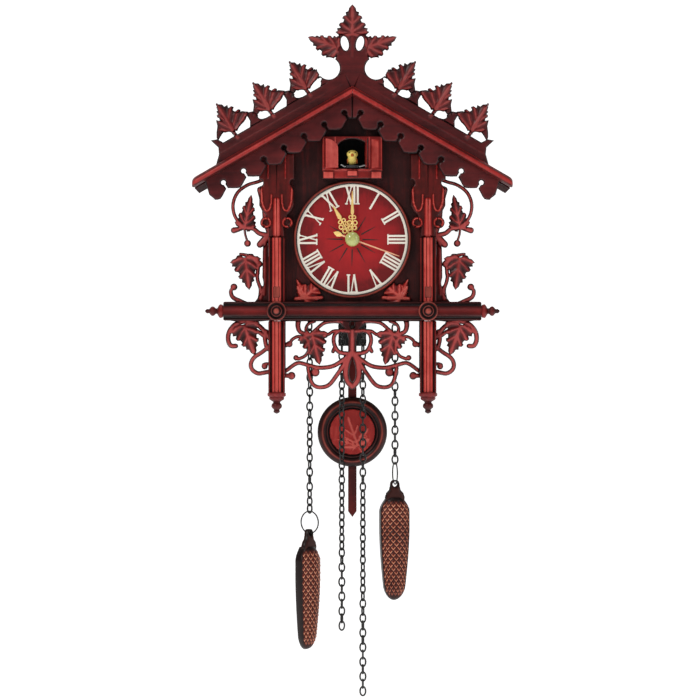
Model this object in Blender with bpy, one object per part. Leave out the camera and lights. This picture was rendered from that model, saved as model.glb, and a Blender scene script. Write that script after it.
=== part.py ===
"""Chalet cuckoo clock with a quartz movement, pine cone weights and a pendulum.

Metres, +Z up. The front faces -Y and the wall plane is y = 0. The origin is the
point where the wall nail bears in the keyhole of the back panel.
"""
import math

import bmesh
import bpy
from mathutils import Matrix, Vector
from mathutils.geometry import delaunay_2d_cdt

MM = 0.001
GAP = 0.3 * MM

# Driving dimensions
ROOF_PITCH = math.radians(30)
ROOF_HALF_WIDTH = 135 * MM
RIDGE_Z = 32.3 * MM
ROOF_THICKNESS = 6.5 * MM
ROOF_OVERHANG = 14 * MM
CASE_DEPTH = 76 * MM
BOARD = 6 * MM
DIAL_Z = -96.3 * MM
DIAL_RADIUS = 50 * MM
POST_WIDTH = 14 * MM
POST_DEPTH = 9 * MM
POST_TO_DIAL = 7 * MM
POST_BELOW_BAR = 61 * MM
FRET_THICKNESS = 4.5 * MM
BAR_HEIGHT = 16 * MM
BAR_DEPTH = 9 * MM
BAR_PAST_POST = 45 * MM
DIAL_TO_BAR = 2.9 * MM
FASCIA_HEIGHT = 7.4 * MM
FASCIA_DEPTH = 10 * MM
FRINGE_THICKNESS = 4 * MM
FRINGE_PITCH = 17 * MM
FRINGE_TEETH = 7
CREST_THICKNESS = 5 * MM
CREST_BAND = 21 * MM
LEAF_PITCH = 35.5 * MM
DOORWAY_WIDTH = 26 * MM
DOORWAY_HEIGHT = 25 * MM
DOOR_THICKNESS = 2 * MM
MEETING_GAP = 0.8 * MM
PORCH_SIDE = 12.5 * MM
PORCH_DEPTH = 12.7 * MM
BIRD_TRAVEL = 26 * MM
LEFT_DOOR_OPEN = math.radians(148)
RIGHT_DOOR_OPEN = math.radians(96)
MOVEMENT_SIDE = 56 * MM
MOVEMENT_DEPTH = 15.5 * MM
COVER_THICKNESS = 1.2 * MM
CHAIN_DIAMETER = 6.5 * MM
CHAIN_BEHIND_COVER = 0.45 * MM
INNER_CHAIN_X = 9 * MM
OUTER_CHAIN_X = 36.5 * MM
WHEEL_ABOVE_CASE_BOTTOM = 22.2 * MM
BIRD_SIZE = 0.84
CHAIN_BOTTOM = {
    "weight_chain_left": -327 * MM,
    "weight_chain_right": -285 * MM,
    "free_chain_left": -429 * MM,
    "free_chain_right": -485 * MM,
}
WEIGHT_CHAIN_TOP = -114 * MM
FREE_CHAIN_TOP = -96 * MM
RING_RADIUS = 10 * MM
RING_WIRE = 1.2 * MM
WEIGHT_WIDTH = 25.6 * MM
WEIGHT_LENGTH = 88 * MM
WEIGHT_NECK = 15.5 * MM
WEIGHT_DEPTH = 13 * MM
WEIGHT_TURN = {"left": math.radians(52), "right": math.radians(12)}
PENDULUM_Y = -24.2 * MM
PENDULUM_PIVOT_Z = -170 * MM
PENDULUM_TIP_Z = -334 * MM
ROD_WIDTH = 7.3 * MM
BOB_RADIUS = 30 * MM
BOB_Z = -260.5 * MM

# Sizes that follow from them
SLOPE = math.tan(ROOF_PITCH)
ALONG = math.cos(ROOF_PITCH)
POST_X = DIAL_RADIUS + POST_TO_DIAL + POST_WIDTH / 2
CASE_HALF_WIDTH = POST_X - 1 * MM
BAR_TOP = DIAL_Z - DIAL_RADIUS - DIAL_TO_BAR
BAR_BOTTOM = BAR_TOP - BAR_HEIGHT
BAR_HALF_LENGTH = POST_X + BAR_PAST_POST
CASE_BOTTOM = BAR_BOTTOM + 5 * MM
FACADE_Y = -CASE_DEPTH - GAP
FRET_FRONT = FACADE_Y - FRET_THICKNESS
POST_BACK = FRET_FRONT - GAP
POST_FRONT = POST_BACK - POST_DEPTH
POST_NOTCH = POST_BACK - 4 * MM
BAR_BACK = POST_NOTCH - GAP
BAR_FRONT = BAR_BACK - BAR_DEPTH
ROOF_FRONT = -CASE_DEPTH - ROOF_OVERHANG
CREST_BACK = ROOF_FRONT - GAP
CREST_FRONT = CREST_BACK - CREST_THICKNESS
FASCIA_BACK = CREST_FRONT - GAP
PORCH_BOTTOM = DIAL_Z + DIAL_RADIUS + 0.8 * MM
DOORWAY_BOTTOM = PORCH_BOTTOM + 9 * MM
DOORWAY_TOP = DOORWAY_BOTTOM + DOORWAY_HEIGHT
PORCH_HALF_WIDTH = DOORWAY_WIDTH / 2 + PORCH_SIDE
PORCH_FRONT = FACADE_Y - PORCH_DEPTH
HINGE_Y = PORCH_FRONT - 0.7 * MM
CHAIN_WHEEL_X = (INNER_CHAIN_X + OUTER_CHAIN_X) / 2
CHAIN_WHEEL_RADIUS = (OUTER_CHAIN_X - INNER_CHAIN_X) / 2
MOVEMENT_BACK = -CASE_DEPTH + BOARD + GAP + MOVEMENT_DEPTH
CHAIN_Y = MOVEMENT_BACK + GAP + COVER_THICKNESS + CHAIN_BEHIND_COVER + CHAIN_DIAMETER / 2
CHAIN_WHEEL_Z = CASE_BOTTOM + WHEEL_ABOVE_CASE_BOTTOM
FRET_SPREAD = (POST_X - POST_WIDTH / 2) / (57 * MM)

FINISHES = {
    "mahogany": ((0.16, 0.028, 0.022), 0.42, 0.0),
    "red_wood": ((0.33, 0.045, 0.035), 0.40, 0.0),
    "dark_wood": ((0.07, 0.022, 0.018), 0.50, 0.0),
    "plywood": ((0.35, 0.24, 0.15), 0.70, 0.0),
    "dial_red": ((0.30, 0.025, 0.03), 0.45, 0.0),
    "cream": ((0.85, 0.78, 0.62), 0.55, 0.0),
    "gilt": ((0.72, 0.50, 0.16), 0.35, 0.0),
    "bird_paint": ((0.85, 0.62, 0.16), 0.55, 0.0),
    "steel_wire": ((0.75, 0.75, 0.74), 0.30, 1.0),
    "black_plastic": ((0.02, 0.02, 0.022), 0.45, 0.0),
    "white_plastic": ((0.80, 0.80, 0.76), 0.45, 0.0),
    "battery_skin": ((0.05, 0.10, 0.30), 0.35, 0.3),
    "burnished_metal": ((0.045, 0.04, 0.04), 0.38, 1.0),
    "cone_wood": ((0.20, 0.055, 0.03), 0.45, 0.0),
}


def clear_scene():
    for thing in list(bpy.data.objects):
        bpy.data.objects.remove(thing)


def finish_material(finish):
    """The Principled material of one finish, made once."""
    if finish in bpy.data.materials:
        return bpy.data.materials[finish]
    colour, roughness, metallic = FINISHES[finish]
    made = bpy.data.materials.new(finish)
    made.use_nodes = True
    shader = made.node_tree.nodes["Principled BSDF"]
    shader.inputs["Base Color"].default_value = (*colour, 1.0)
    shader.inputs["Roughness"].default_value = roughness
    shader.inputs["Metallic"].default_value = metallic
    return made


def add_object(name, points, faces, finish, smooth=False, origin=(0, 0, 0)):
    """A closed mesh from points in the clock's frame, with its origin on its joint axis if it has one."""
    mesh = bpy.data.meshes.new(name)
    start = Vector(origin)
    mesh.from_pydata([Vector(point) - start for point in points], [], faces)
    work = bmesh.new()
    work.from_mesh(mesh)
    bmesh.ops.remove_doubles(work, verts=work.verts, dist=1e-6)
    bmesh.ops.recalc_face_normals(work, faces=work.faces)
    work.to_mesh(mesh)
    work.free()
    mesh.materials.append(finish_material(finish))
    if smooth:
        mesh.shade_smooth()
        mesh.set_sharp_from_angle(angle=math.radians(35))
    thing = bpy.data.objects.new(name, mesh)
    thing.location = start
    bpy.context.scene.collection.objects.link(thing)
    return thing


def boolean(thing, other, operation):
    """Joins or cuts with a helper object, which stays hidden."""
    step = thing.modifiers.new(other.name, "BOOLEAN")
    step.operation = operation
    step.object = other
    other.hide_render = True
    other.display_type = "WIRE"


# Outlines: closed lists of (across, up) points


def circle(across, up, radius, count=12):
    turns = [2 * math.pi * step / count for step in range(count)]
    return [(across + radius * math.cos(a), up + radius * math.sin(a)) for a in turns]


def ellipse(across, up, half_long, half_short, tilt=0.0, count=12):
    outline = []
    for step in range(count):
        turn = 2 * math.pi * step / count
        long_way = half_long * math.cos(turn)
        short_way = half_short * math.sin(turn)
        outline.append(
            (
                across + long_way * math.cos(tilt) - short_way * math.sin(tilt),
                up + long_way * math.sin(tilt) + short_way * math.cos(tilt),
            )
        )
    return outline


def rectangle(low_across, low_up, high_across, high_up):
    return [(low_across, low_up), (high_across, low_up), (high_across, high_up), (low_across, high_up)]


def mirrored(outlines):
    """The same outlines on the other side of the centre line."""
    return [[(-across, up) for across, up in reversed(outline)] for outline in outlines]


def smooth_line(points, steps=4):
    """A Catmull-Rom curve through the points."""
    line = []
    ends = [points[0], *points, points[-1]]
    for index in range(len(points) - 1):
        before, start, end, after = (Vector(p) for p in ends[index : index + 4])
        for step in range(steps):
            t = step / steps
            line.append(
                0.5
                * (
                    2 * start
                    + (end - before) * t
                    + (2 * before - 5 * start + 4 * end - after) * t**2
                    + (3 * start - before - 3 * end + after) * t**3
                )
            )
    line.append(Vector(points[-1]))
    return line


def stroke(points, width, end_width=None):
    """A ribbon with pointed ends along a smooth line, in metres from points in millimetres."""
    line = [point * MM for point in smooth_line(points, 2)]
    widths = [width, width if end_width is None else end_width]
    left, right = [], []
    last = len(line) - 1
    for index, point in enumerate(line):
        way = (line[min(index + 1, last)] - line[max(index - 1, 0)]).normalized()
        half = (widths[0] + (widths[1] - widths[0]) * index / last) / 2 * MM
        side = Vector((-way.y, way.x)) * half
        left.append(point + side)
        right.append(point - side)
        if index == 0:
            nose = [point - way * half]
        if index == last:
            tail = [point + way * half]
    outline = nose + right + tail + list(reversed(left))
    return [(point.x, point.y) for point in outline]


def leaf(base, tip, width, left_share=1.0, right_share=1.0, sweep=0.0):
    """A toothed, three-lobed vine leaf from its stem to its tip, from points in millimetres."""
    half_outline = [
        (0.02, 0.05), (-0.06, 0.24), (0.14, 0.50), (0.24, 0.38),
        (0.42, 0.36), (0.50, 0.24), (0.66, 0.25), (0.76, 0.12),
    ]
    base, tip = Vector(base), Vector(tip)
    way = tip - base
    side = Vector((-way.y, way.x)).normalized() * width
    right = [base + way * (along + sweep * out) - side * out * right_share for along, out in half_outline]
    left = [base + way * (along + sweep * out) + side * out * left_share for along, out in reversed(half_outline)]
    return [(point.x * MM, point.y * MM) for point in [*right, tip, *left]]


# Solids


def board(name, solids, holes, near, far, finish, plane="XZ", origin=(0, 0, 0)):
    """A flat board: the union of the solid outlines less the holes, between two planes."""
    corners, loops = [], []
    for outline in solids + holes:
        turn = sum(a[0] * b[1] - b[0] * a[1] for a, b in zip(outline, outline[1:] + outline[:1]))
        if turn < 0:
            outline = list(reversed(outline))
        first = len(corners)
        corners.extend(Vector(point) / MM for point in outline)
        loops.append(list(range(first, len(corners))))
    flat, _, cells, _, _, owners = delaunay_2d_cdt(corners, [], loops, 1, 1e-4)
    kept = [cell for cell, owner in zip(cells, owners) if owner and max(owner) < len(solids)]
    place = {
        "XZ": lambda point, depth: (point.x * MM, depth, point.y * MM),
        "XY": lambda point, depth: (point.x * MM, point.y * MM, depth),
        "YZ": lambda point, depth: (depth, point.x * MM, point.y * MM),
    }[plane]
    used = sorted({index for cell in kept for index in cell})
    renumber = {old: new for new, old in enumerate(used)}
    count = len(used)
    points = [place(flat[old], near) for old in used] + [place(flat[old], far) for old in used]
    faces = [tuple(renumber[i] for i in cell) for cell in kept]
    edges = {(face[i], face[(i + 1) % len(face)]) for face in faces for i in range(len(face))}
    walls = [(a, b, b + count, a + count) for a, b in edges if (b, a) not in edges]
    backs = [tuple(i + count for i in reversed(face)) for face in faces]
    return add_object(name, points, faces + backs + walls, finish, origin=origin)


def loft(name, rings, finish, smooth=False, origin=(0, 0, 0), closed=False):
    """A skin over rings of points, capped at both ends, or joined end to start when closed."""
    count = len(rings[0])
    points = [point for ring in rings for point in ring]
    faces = []
    spans = len(rings) if closed else len(rings) - 1
    for span in range(spans):
        low = span * count
        high = (span + 1) % len(rings) * count
        for index in range(count):
            following = (index + 1) % count
            faces.append((low + index, low + following, high + following, high + index))
    if not closed:
        faces.append(tuple(range(count)))
        faces.append(tuple(range(len(points) - count, len(points))))
    return add_object(name, points, faces, finish, smooth, origin)


def turned(name, profile, centre, axis, finish, count=20, origin=(0, 0, 0), closed=False):
    """A piece turned about X, Y or Z, from (distance along the axis, radius) pairs."""
    rings = []
    for along, radius in profile:
        ring = []
        for step in range(count):
            turn = 2 * math.pi * step / count
            a, b = radius * math.cos(turn), radius * math.sin(turn)
            offset = {"X": (along, a, b), "Y": (a, along, b), "Z": (a, b, along)}[axis]
            ring.append(Vector(centre) + Vector(offset))
        rings.append(ring)
    return loft(name, rings, finish, True, origin, closed)


def block(name, low, high, finish, origin=(0, 0, 0)):
    outline = rectangle(low[0], low[2], high[0], high[2])
    return board(name, [outline], [], low[1], high[1], finish, origin=origin)


def slope_z(across, drop=0.0):
    """Height of the line that lies a drop below the top of the front moulding, measured square to the slope."""
    return RIDGE_Z - abs(across) * SLOPE - drop / ALONG


def arch(half_width, bottom, top, count=8):
    """A doorway outline with a flattened round head."""
    rise = half_width * 0.62
    spring = top - rise
    head = []
    for step in range(count + 1):
        turn = math.pi * step / count
        head.append((half_width * math.cos(turn), spring + rise * math.sin(turn)))
    return [(-half_width, bottom), (half_width, bottom), *head]


# Case


def gable(half_width, bottom, drop):
    return [
        (-half_width, bottom),
        (half_width, bottom),
        (half_width, slope_z(half_width, drop)),
        (0, slope_z(0, drop)),
        (-half_width, slope_z(half_width, drop)),
    ]


def make_case():
    under_roof = ROOF_THICKNESS + 1.5 * MM + GAP
    keyhole_slot = rectangle(-2.5 * MM, -16 * MM, 2.5 * MM, -2.5 * MM)
    keyhole = [circle(0, -2.5 * MM, 2.5 * MM), keyhole_slot, circle(0, -18 * MM, 5.5 * MM, 16)]
    board("back_panel", [gable(CASE_HALF_WIDTH, CASE_BOTTOM, under_roof)], keyhole, -BOARD, 0, "plywood")
    arbor_hole = circle(0, DIAL_Z, 5 * MM, 16)
    doorway = arch(DOORWAY_WIDTH / 2 + 1 * MM, DOORWAY_BOTTOM - 3 * MM, DOORWAY_TOP + 1 * MM)
    front = gable(CASE_HALF_WIDTH, CASE_BOTTOM, under_roof)
    board("front_board", [front], [arbor_hole, doorway], -CASE_DEPTH, -CASE_DEPTH + BOARD, "mahogany")
    inside_front = -CASE_DEPTH + BOARD + GAP
    inside_back = -BOARD - GAP
    for side, sign in (("left", -1), ("right", 1)):
        outer, inner = CASE_HALF_WIDTH, CASE_HALF_WIDTH - BOARD
        outline = [
            (sign * inner, CASE_BOTTOM),
            (sign * outer, CASE_BOTTOM),
            (sign * outer, slope_z(outer, under_roof)),
            (sign * inner, slope_z(inner, under_roof)),
        ]
        board(f"case_side_{side}", [outline], [], inside_front, inside_back, "mahogany")
    make_floor(inside_front, inside_back)


def make_floor(inside_front, inside_back):
    """The floor board, slotted for the chains, with the two brackets that carry each chain wheel."""
    half = CASE_HALF_WIDTH - BOARD - GAP
    slots = []
    for across in (-OUTER_CHAIN_X, -INNER_CHAIN_X, INNER_CHAIN_X, OUTER_CHAIN_X):
        slots.append(rectangle(across - 4.2 * MM, CHAIN_Y - 4.2 * MM, across + 4.2 * MM, CHAIN_Y + 4.2 * MM))
    base = rectangle(-half, inside_front, half, inside_back)
    floor = board("case_floor", [base], slots, CASE_BOTTOM, CASE_BOTTOM + BOARD, "plywood", plane="XY")
    for sign in (-1, 1):
        for way in (-1, 1):
            near = CHAIN_Y + way * 3.1 * MM
            outline = rectangle(
                sign * CHAIN_WHEEL_X - 4 * MM,
                CASE_BOTTOM + 3 * MM,
                sign * CHAIN_WHEEL_X + 4 * MM,
                CHAIN_WHEEL_Z + 4 * MM,
            )
            hole = circle(sign * CHAIN_WHEEL_X, CHAIN_WHEEL_Z, 1.8 * MM)
            name = f"wheel_bracket_{sign}_{way}"
            boolean(floor, board(name, [outline], [hole], near, near + way * 1.5 * MM, "plywood"), "UNION")


def make_roof():
    half = ROOF_HALF_WIDTH - 2 * MM
    top, bottom = 1.5 * MM, 1.5 * MM + ROOF_THICKNESS
    seam = 0.15 * MM
    for side, sign in (("left", -1), ("right", 1)):
        outline = [
            (sign * seam, slope_z(seam, bottom)),
            (sign * half, slope_z(half, bottom)),
            (sign * half, slope_z(half, top)),
            (sign * seam, slope_z(seam, top)),
        ]
        board(f"roof_board_{side}", [outline], [], ROOF_FRONT, 0, "mahogany")


# Front of the roof


def slope_point(distance, rise, sign):
    """The point a distance down one slope from the ridge and a rise square to it, in millimetres."""
    across = distance * ALONG + rise * math.sin(ROOF_PITCH)
    up = RIDGE_Z / MM - distance * math.sin(ROOF_PITCH) + rise * ALONG
    return sign * across, up


def crest_side(sign):
    """Solids and holes of one slope of the crest: the band, three leaves and the openings under them."""
    end = ROOF_HALF_WIDTH / MM / ALONG - 22
    band = CREST_BAND / MM
    mid = FASCIA_HEIGHT / MM / 2
    spots = [(mid * SLOPE, -mid), (end, -mid), (end - 1.5, 0.6), (end - 7.8, 6.8), (end - 10.2, 12)]
    spots += [(end - 7.6, band - 0.6), (end - 13, band - 2.6), (end - 16, band - 7.4), (0, band - 7.4)]
    solids = [[tuple(MM * value for value in slope_point(d, r, sign)) for d, r in spots]]
    holes = []
    for index in range(3):
        down = end - 28 - index * LEAF_PITCH / MM
        stem = slope_point(down, band - 5.2, sign)
        tip = (stem[0] + sign * 14.8, stem[1] + 24.3)
        shares = (1.42, 0.72) if sign > 0 else (0.72, 1.42)
        solids.append(leaf(stem, tip, 26, *shares, 0.36))
        solids.append(stroke([slope_point(down - 0.5, band - 10, sign), stem, tip], 4.4, 2))
        ear = [(-31, -9), (-27, -5.5), (-24.5, -1.5), (-22.5, 3), (-19.5, 4), (-16.6, 2.4), (-16.6, -3), (-13, -9)]
        if index == 2:
            ear = [(-24, -9), (-18.5, -4), (-15.6, 0.6), (-13, -0.4), (-13.6, -5), (-10, -9)]
        to_ear = -15.5 if index == 2 else -19.2
        inner_lobe = [(-1, -3), (-6, 1.4), (-13, 1.8), (to_ear, 1.6), (to_ear, 4.6), (-15, 7.6), (-8, 9), (-3, 6)]
        outer_lobe = [(1, -3), (7, 0.2), (11, -1.6), (15.4, -4.2), (15, -1.2), (12.6, 3), (9.5, 7), (8, 12), (3, 8)]
        for outline in (ear, inner_lobe, outer_lobe):
            corners = [slope_point(down + shift, band + rise, sign) for shift, rise in outline]
            solids.append([(across * MM, up * MM) for across, up in corners])
        outer_hole = slope_point(down + 6.6, band - 4.1, sign)
        inner_hole = slope_point(down - 9.4, band - 3.6, sign)
        tilt = -sign * math.radians(25)
        holes.append(ellipse(outer_hole[0] * MM, outer_hole[1] * MM, 4.8 * MM, 3 * MM, tilt))
        holes.append(ellipse(inner_hole[0] * MM, inner_hole[1] * MM, 6.8 * MM, 1.9 * MM, -sign * math.radians(48)))
    return solids, holes


def make_crest():
    solids, holes = [], []
    for sign in (-1, 1):
        more_solids, more_holes = crest_side(sign)
        solids += more_solids
        holes += more_holes
    ridge = RIDGE_Z / MM
    apex = ridge - FASCIA_HEIGHT / MM / 2 / ALONG
    eave = apex - 26 * SLOPE + 1
    half = [(26, eave), (19, ridge + 8), (12.6, ridge + 29), (13.4, ridge + 37), (11.6, ridge + 43.4)]
    trunk = [(0, apex), *half, (0, ridge + 45), *[(-across, up) for across, up in reversed(half)]]
    solids.append([(across * MM, up * MM) for across, up in trunk])
    solids.append(stroke([(0, ridge + 30), (0, ridge + 44)], 4))
    solids.append(leaf((0, ridge + 42.5), (0, ridge + 69.5), 29))
    for sign in (-1, 1):
        shares = (0.66, 0.95) if sign > 0 else (0.95, 0.66)
        solids.append(leaf((sign * 10.6, ridge + 32), (sign * 37.6, ridge + 42), 29, *shares, 0.1))
        holes.append(circle(sign * 20 * MM, (ridge + 15.3) * MM, 9.4 * MM, 20))
        tilt = math.radians(90 - sign * 12)
        holes.append(ellipse(sign * 6.4 * MM, (ridge + 36.4) * MM, 6.2 * MM, 3.2 * MM, tilt))
    board("crest_board", solids, holes, CREST_FRONT, CREST_BACK, "mahogany")


def make_fascia():
    """The moulding along each slope: a bead over a step, mitred at the ridge, with a rounded end at the eave."""
    height, depth = FASCIA_HEIGHT, FASCIA_DEPTH
    section = [(0, 0), (0, 1), (0.45, 1), (0.55, 0.86), (0.72, 0.86), (0.9, 0.74)]
    section += [(1, 0.5), (0.93, 0.24), (0.75, 0.1), (0.6, 0.12), (0.5, 0)]
    for side, sign in (("left", -1), ("right", 1)):
        rings = []
        stations = [(0, 1.0), (ROOF_HALF_WIDTH - 2.5 * MM, 1.0), (ROOF_HALF_WIDTH, 0.6)]
        for across, swell in stations:
            ring = []
            for out, up in section:
                drop = height * (0.5 - (up - 0.5) * swell)
                reach = max(across, 0.15 * MM)
                ring.append((sign * reach, FASCIA_BACK - depth * out * swell, slope_z(reach, drop)))
            rings.append(ring)
        loft(f"fascia_{side}", rings, "red_wood", smooth=True)


def make_fringe():
    """The scalloped board under each slope: a stair of teeth with a keyhole at every inner corner."""
    top = FASCIA_HEIGHT / 2 + GAP
    first = 0.4 * FRINGE_PITCH
    for side, sign in (("left", -1), ("right", 1)):
        seam = 0.15 * MM
        lower = [(seam, slope_z(first, FASCIA_HEIGHT) - 14.5 * MM)]
        holes = []
        for index in range(FRINGE_TEETH):
            across = first + index * FRINGE_PITCH
            up = slope_z(across, FASCIA_HEIGHT) - 9.7 * MM
            lower += [
                (across - 2.8 * MM, up - 4.6 * MM),
                (across + 1.2 * MM, up - 12.4 * MM),
                (across + 2.4 * MM, up - 13.9 * MM),
                (across + 4.6 * MM, up - 14.4 * MM),
            ]
            holes.append(circle(sign * across, up, 2 * MM, 10))
            slit = [(across, up), (across - 3.4 * MM, up - 5.4 * MM)]
            slit = [(sign * a / MM, b / MM) for a, b in slit]
            holes.append(stroke(slit, 1.3))
        end = first + FRINGE_TEETH * FRINGE_PITCH - 4 * MM
        end_up = slope_z(first + (FRINGE_TEETH - 1) * FRINGE_PITCH, FASCIA_HEIGHT) - 24 * MM
        lower += [(end - 6 * MM, end_up), (end - 1 * MM, end_up + 4 * MM)]
        lower += [(end + 2 * MM, slope_z(end, FASCIA_HEIGHT) - 2 * MM)]
        lower += [(end + 4 * MM, slope_z(end + 4 * MM, top)), (seam, slope_z(seam, top))]
        outline = [(sign * across, up) for across, up in lower]
        near = CREST_BACK - FRINGE_THICKNESS
        board(f"fringe_{side}", [outline], holes, near, CREST_BACK, "mahogany")


# Posts, bar and fretwork


def make_posts():
    """Fluted posts, half lapped behind the cross bar, with a turned finial at the foot."""
    top = DIAL_Z + 1.3 * MM
    bottom = BAR_BOTTOM - POST_BELOW_BAR
    lap_top, lap_bottom = BAR_TOP + GAP, BAR_BOTTOM - GAP
    for side, sign in (("left", -1), ("right", 1)):
        across = sign * POST_X
        profile = [
            (POST_BACK, bottom),
            (POST_BACK, top),
            (POST_FRONT, top),
            (POST_FRONT, lap_top),
            (POST_NOTCH, lap_top),
            (POST_NOTCH, lap_bottom),
            (POST_FRONT, lap_bottom),
            (POST_FRONT, bottom),
        ]
        half = POST_WIDTH / 2
        post = board(f"post_{side}", [profile], [], across - half, across + half, "red_wood", plane="YZ")
        for way in (-1, 1):
            flute = across + way * POST_WIDTH * 0.29
            for low, high in ((bottom + 3 * MM, lap_bottom - 2 * MM), (lap_top + 3 * MM, top - 3 * MM)):
                name = f"flute_{side}_{way}_{round(low / MM)}"
                low_corner = (flute - 0.8 * MM, POST_FRONT - 1 * MM, low)
                high_corner = (flute + 0.8 * MM, POST_FRONT + 1 * MM, high)
                boolean(post, block(name, low_corner, high_corner, "red_wood"), "DIFFERENCE")
        middle = (POST_BACK + POST_FRONT) / 2
        shape = [(0.6, 5.5), (0, 7.6), (-2.6, 7.8), (-3.4, 6.4), (-5.8, 6.2), (-7.4, 3.1)]
        shape += [(-8.6, 3.0), (-9.8, 4.3), (-12.4, 4.4), (-14, 2.6), (-16.2, 2.7), (-17.6, 0.8)]
        foot = turned(
            f"post_foot_{side}",
            [(along * MM, radius * MM) for along, radius in shape],
            (across, middle, bottom),
            "Z",
            "red_wood",
            12,
        )
        boolean(post, foot, "UNION")


def make_bar():
    """The moulded cross bar with a turned finial at each end, and the round bosses over the posts."""
    section = [(0, 0), (0, 1), (0.55, 1), (0.55, 0.8), (1, 0.72), (1, 0.28), (0.55, 0.2), (0.55, 0)]
    rings = []
    for across in (-BAR_HALF_LENGTH, BAR_HALF_LENGTH):
        ring = [(across, BAR_BACK - BAR_DEPTH * out, BAR_BOTTOM + BAR_HEIGHT * up) for out, up in section]
        rings.append(ring)
    bar = loft("cross_bar", rings, "red_wood")
    middle = (BAR_BACK + BAR_FRONT) / 2
    for sign in (-1, 1):
        shape = [(-1, 3), (0.6, 5.6), (3, 5.8), (4.4, 4.2), (5.4, 2.4), (6.6, 2.5), (8.4, 4.0)]
        shape += [(10.2, 3.8), (11.6, 2.0), (13.4, 1.9), (15.4, 0.7)]
        finial = turned(
            f"bar_finial_{sign}",
            [(sign * along * MM, radius * MM * BAR_DEPTH / (9 * MM)) for along, radius in shape],
            (sign * BAR_HALF_LENGTH, middle, (BAR_TOP + BAR_BOTTOM) / 2),
            "X",
            "red_wood",
            12,
        )
        boolean(bar, finial, "UNION")
    boss_radius = 8.3 * MM
    for side, sign in (("left", -1), ("right", 1)):
        front = BAR_FRONT - GAP
        shape = [(0, boss_radius), (-2, boss_radius), (-3, 0.86 * boss_radius), (-2.4, 0.66 * boss_radius)]
        shape += [(-2.4, 0.5 * boss_radius), (-4.2, 0.34 * boss_radius), (-4.8, 0.1 * boss_radius)]
        profile = [(along * MM, radius) for along, radius in shape]
        centre = (sign * POST_X, front, (BAR_TOP + BAR_BOTTOM) / 2)
        turned(f"boss_{side}", profile, centre, "Y", "dark_wood", 20)


def make_capitals():
    """Carved heads of the posts: a shaped board with a pair of volutes above the shaft."""
    foot = (DIAL_Z + 1.3 * MM + GAP) / MM
    for side, sign in (("left", -1), ("right", 1)):
        middle = sign * POST_X / MM
        half = [(0, foot + 71), (15, foot + 71), (15, foot + 48), (12.6, foot + 44), (14.6, foot + 38)]
        half += [(14.8, foot + 27), (12.5, foot + 22.5), (9, foot + 19), (6, foot + 10), (6.8, foot)]
        half.append((0, foot))
        solids, holes = [], []
        for way in (-1, 1):
            solids.append([((middle + way * across) * MM, up * MM) for across, up in half])
            centre = (middle + way * 9.3) * MM
            solids.append(circle(centre, (foot + 12.5) * MM, 4.9 * MM, 14))
            holes.append(circle((middle + way * 14.2) * MM, (foot + 46) * MM, 2.8 * MM))
        holes.append(ellipse(middle * MM, (foot + 35) * MM, 3.2 * MM, 1.6 * MM))
        front = POST_BACK - POST_DEPTH * 0.7
        board(f"capital_{side}", solids, holes, front, POST_BACK, "red_wood")


def beside_post(points, sign):
    """Points given as (distance out from the post's middle, height), as (across, up)."""
    return [(sign * (POST_X / MM + out), up) for out, up in points]


def make_upper_frets():
    """Side fretwork above the bar: an arched stem with an upright leaf, and a drooping leaf over a scroll."""
    low = BAR_TOP / MM
    for side, sign in (("left", -1), ("right", 1)):
        def line(points, width, end_width=None):
            return stroke(beside_post([(out, low + up) for out, up in points], sign), width, end_width)

        def spot(out, up):
            return beside_post([(out, low + up)], sign)[0]

        def ball(out, up, radius):
            across, height = spot(out, up)
            return circle(across * MM, height * MM, radius * MM)

        solids = [
            line([(10, 104), (17, 101.5), (25, 99), (33, 93), (37, 84), (36.4, 75), (32.4, 67.5), (27, 63.5)], 2.6),
            leaf(spot(27.4, 62), spot(21.6, 91), 19),
            line([(28, 63), (33, 61.5), (36.5, 60.6)], 3, 4.6),
            line([(27.4, 62), (26.8, 57), (24.9, 51)], 1.8),
            ball(24.9, 49.6, 3),
            line([(27, 62.5), (20, 62), (14.6, 58), (6, 56.2)], 3, 4),
            line([(5, 58), (9, 53.6), (14.4, 48.6)], 7, 5),
            line([(14, 95), (10, 80), (8.5, 68), (5, 58)], 5, 6),
            line([(31, 40.6), (24.4, 39), (18.2, 35.6), (14.8, 32)], 2, 5),
            leaf(spot(27, 38.5), spot(23.4, 10), 27),
            ball(36.4, 12.6, 3),
            line([(36.8, 12), (39, 9), (37.4, 4), (31, 0.5), (26, -2)], 2.6, 4),
            line([(15, 33.6), (16.2, 26), (16, 18.6), (13.4, 10.6), (14, 3)], 2.6, 4),
            [tuple(v * MM for v in spot(*corner)) for corner in ((2, 58), (12, 44), (12.5, 8), (20, -1.5), (2, -1.5))],
            [tuple(v * MM for v in spot(*corner)) for corner in ((2, -0.5), (2, -6), (44, -6), (44, -0.5))],
        ]
        slit = spot(13.2, 18.6)
        holes = [ellipse(slit[0] * MM, slit[1] * MM, 5.4 * MM, 1.4 * MM, math.radians(90 - sign * 12), 10)]
        board(f"upper_fret_{side}", solids, holes, FRET_FRONT, FACADE_Y, "mahogany")


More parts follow.
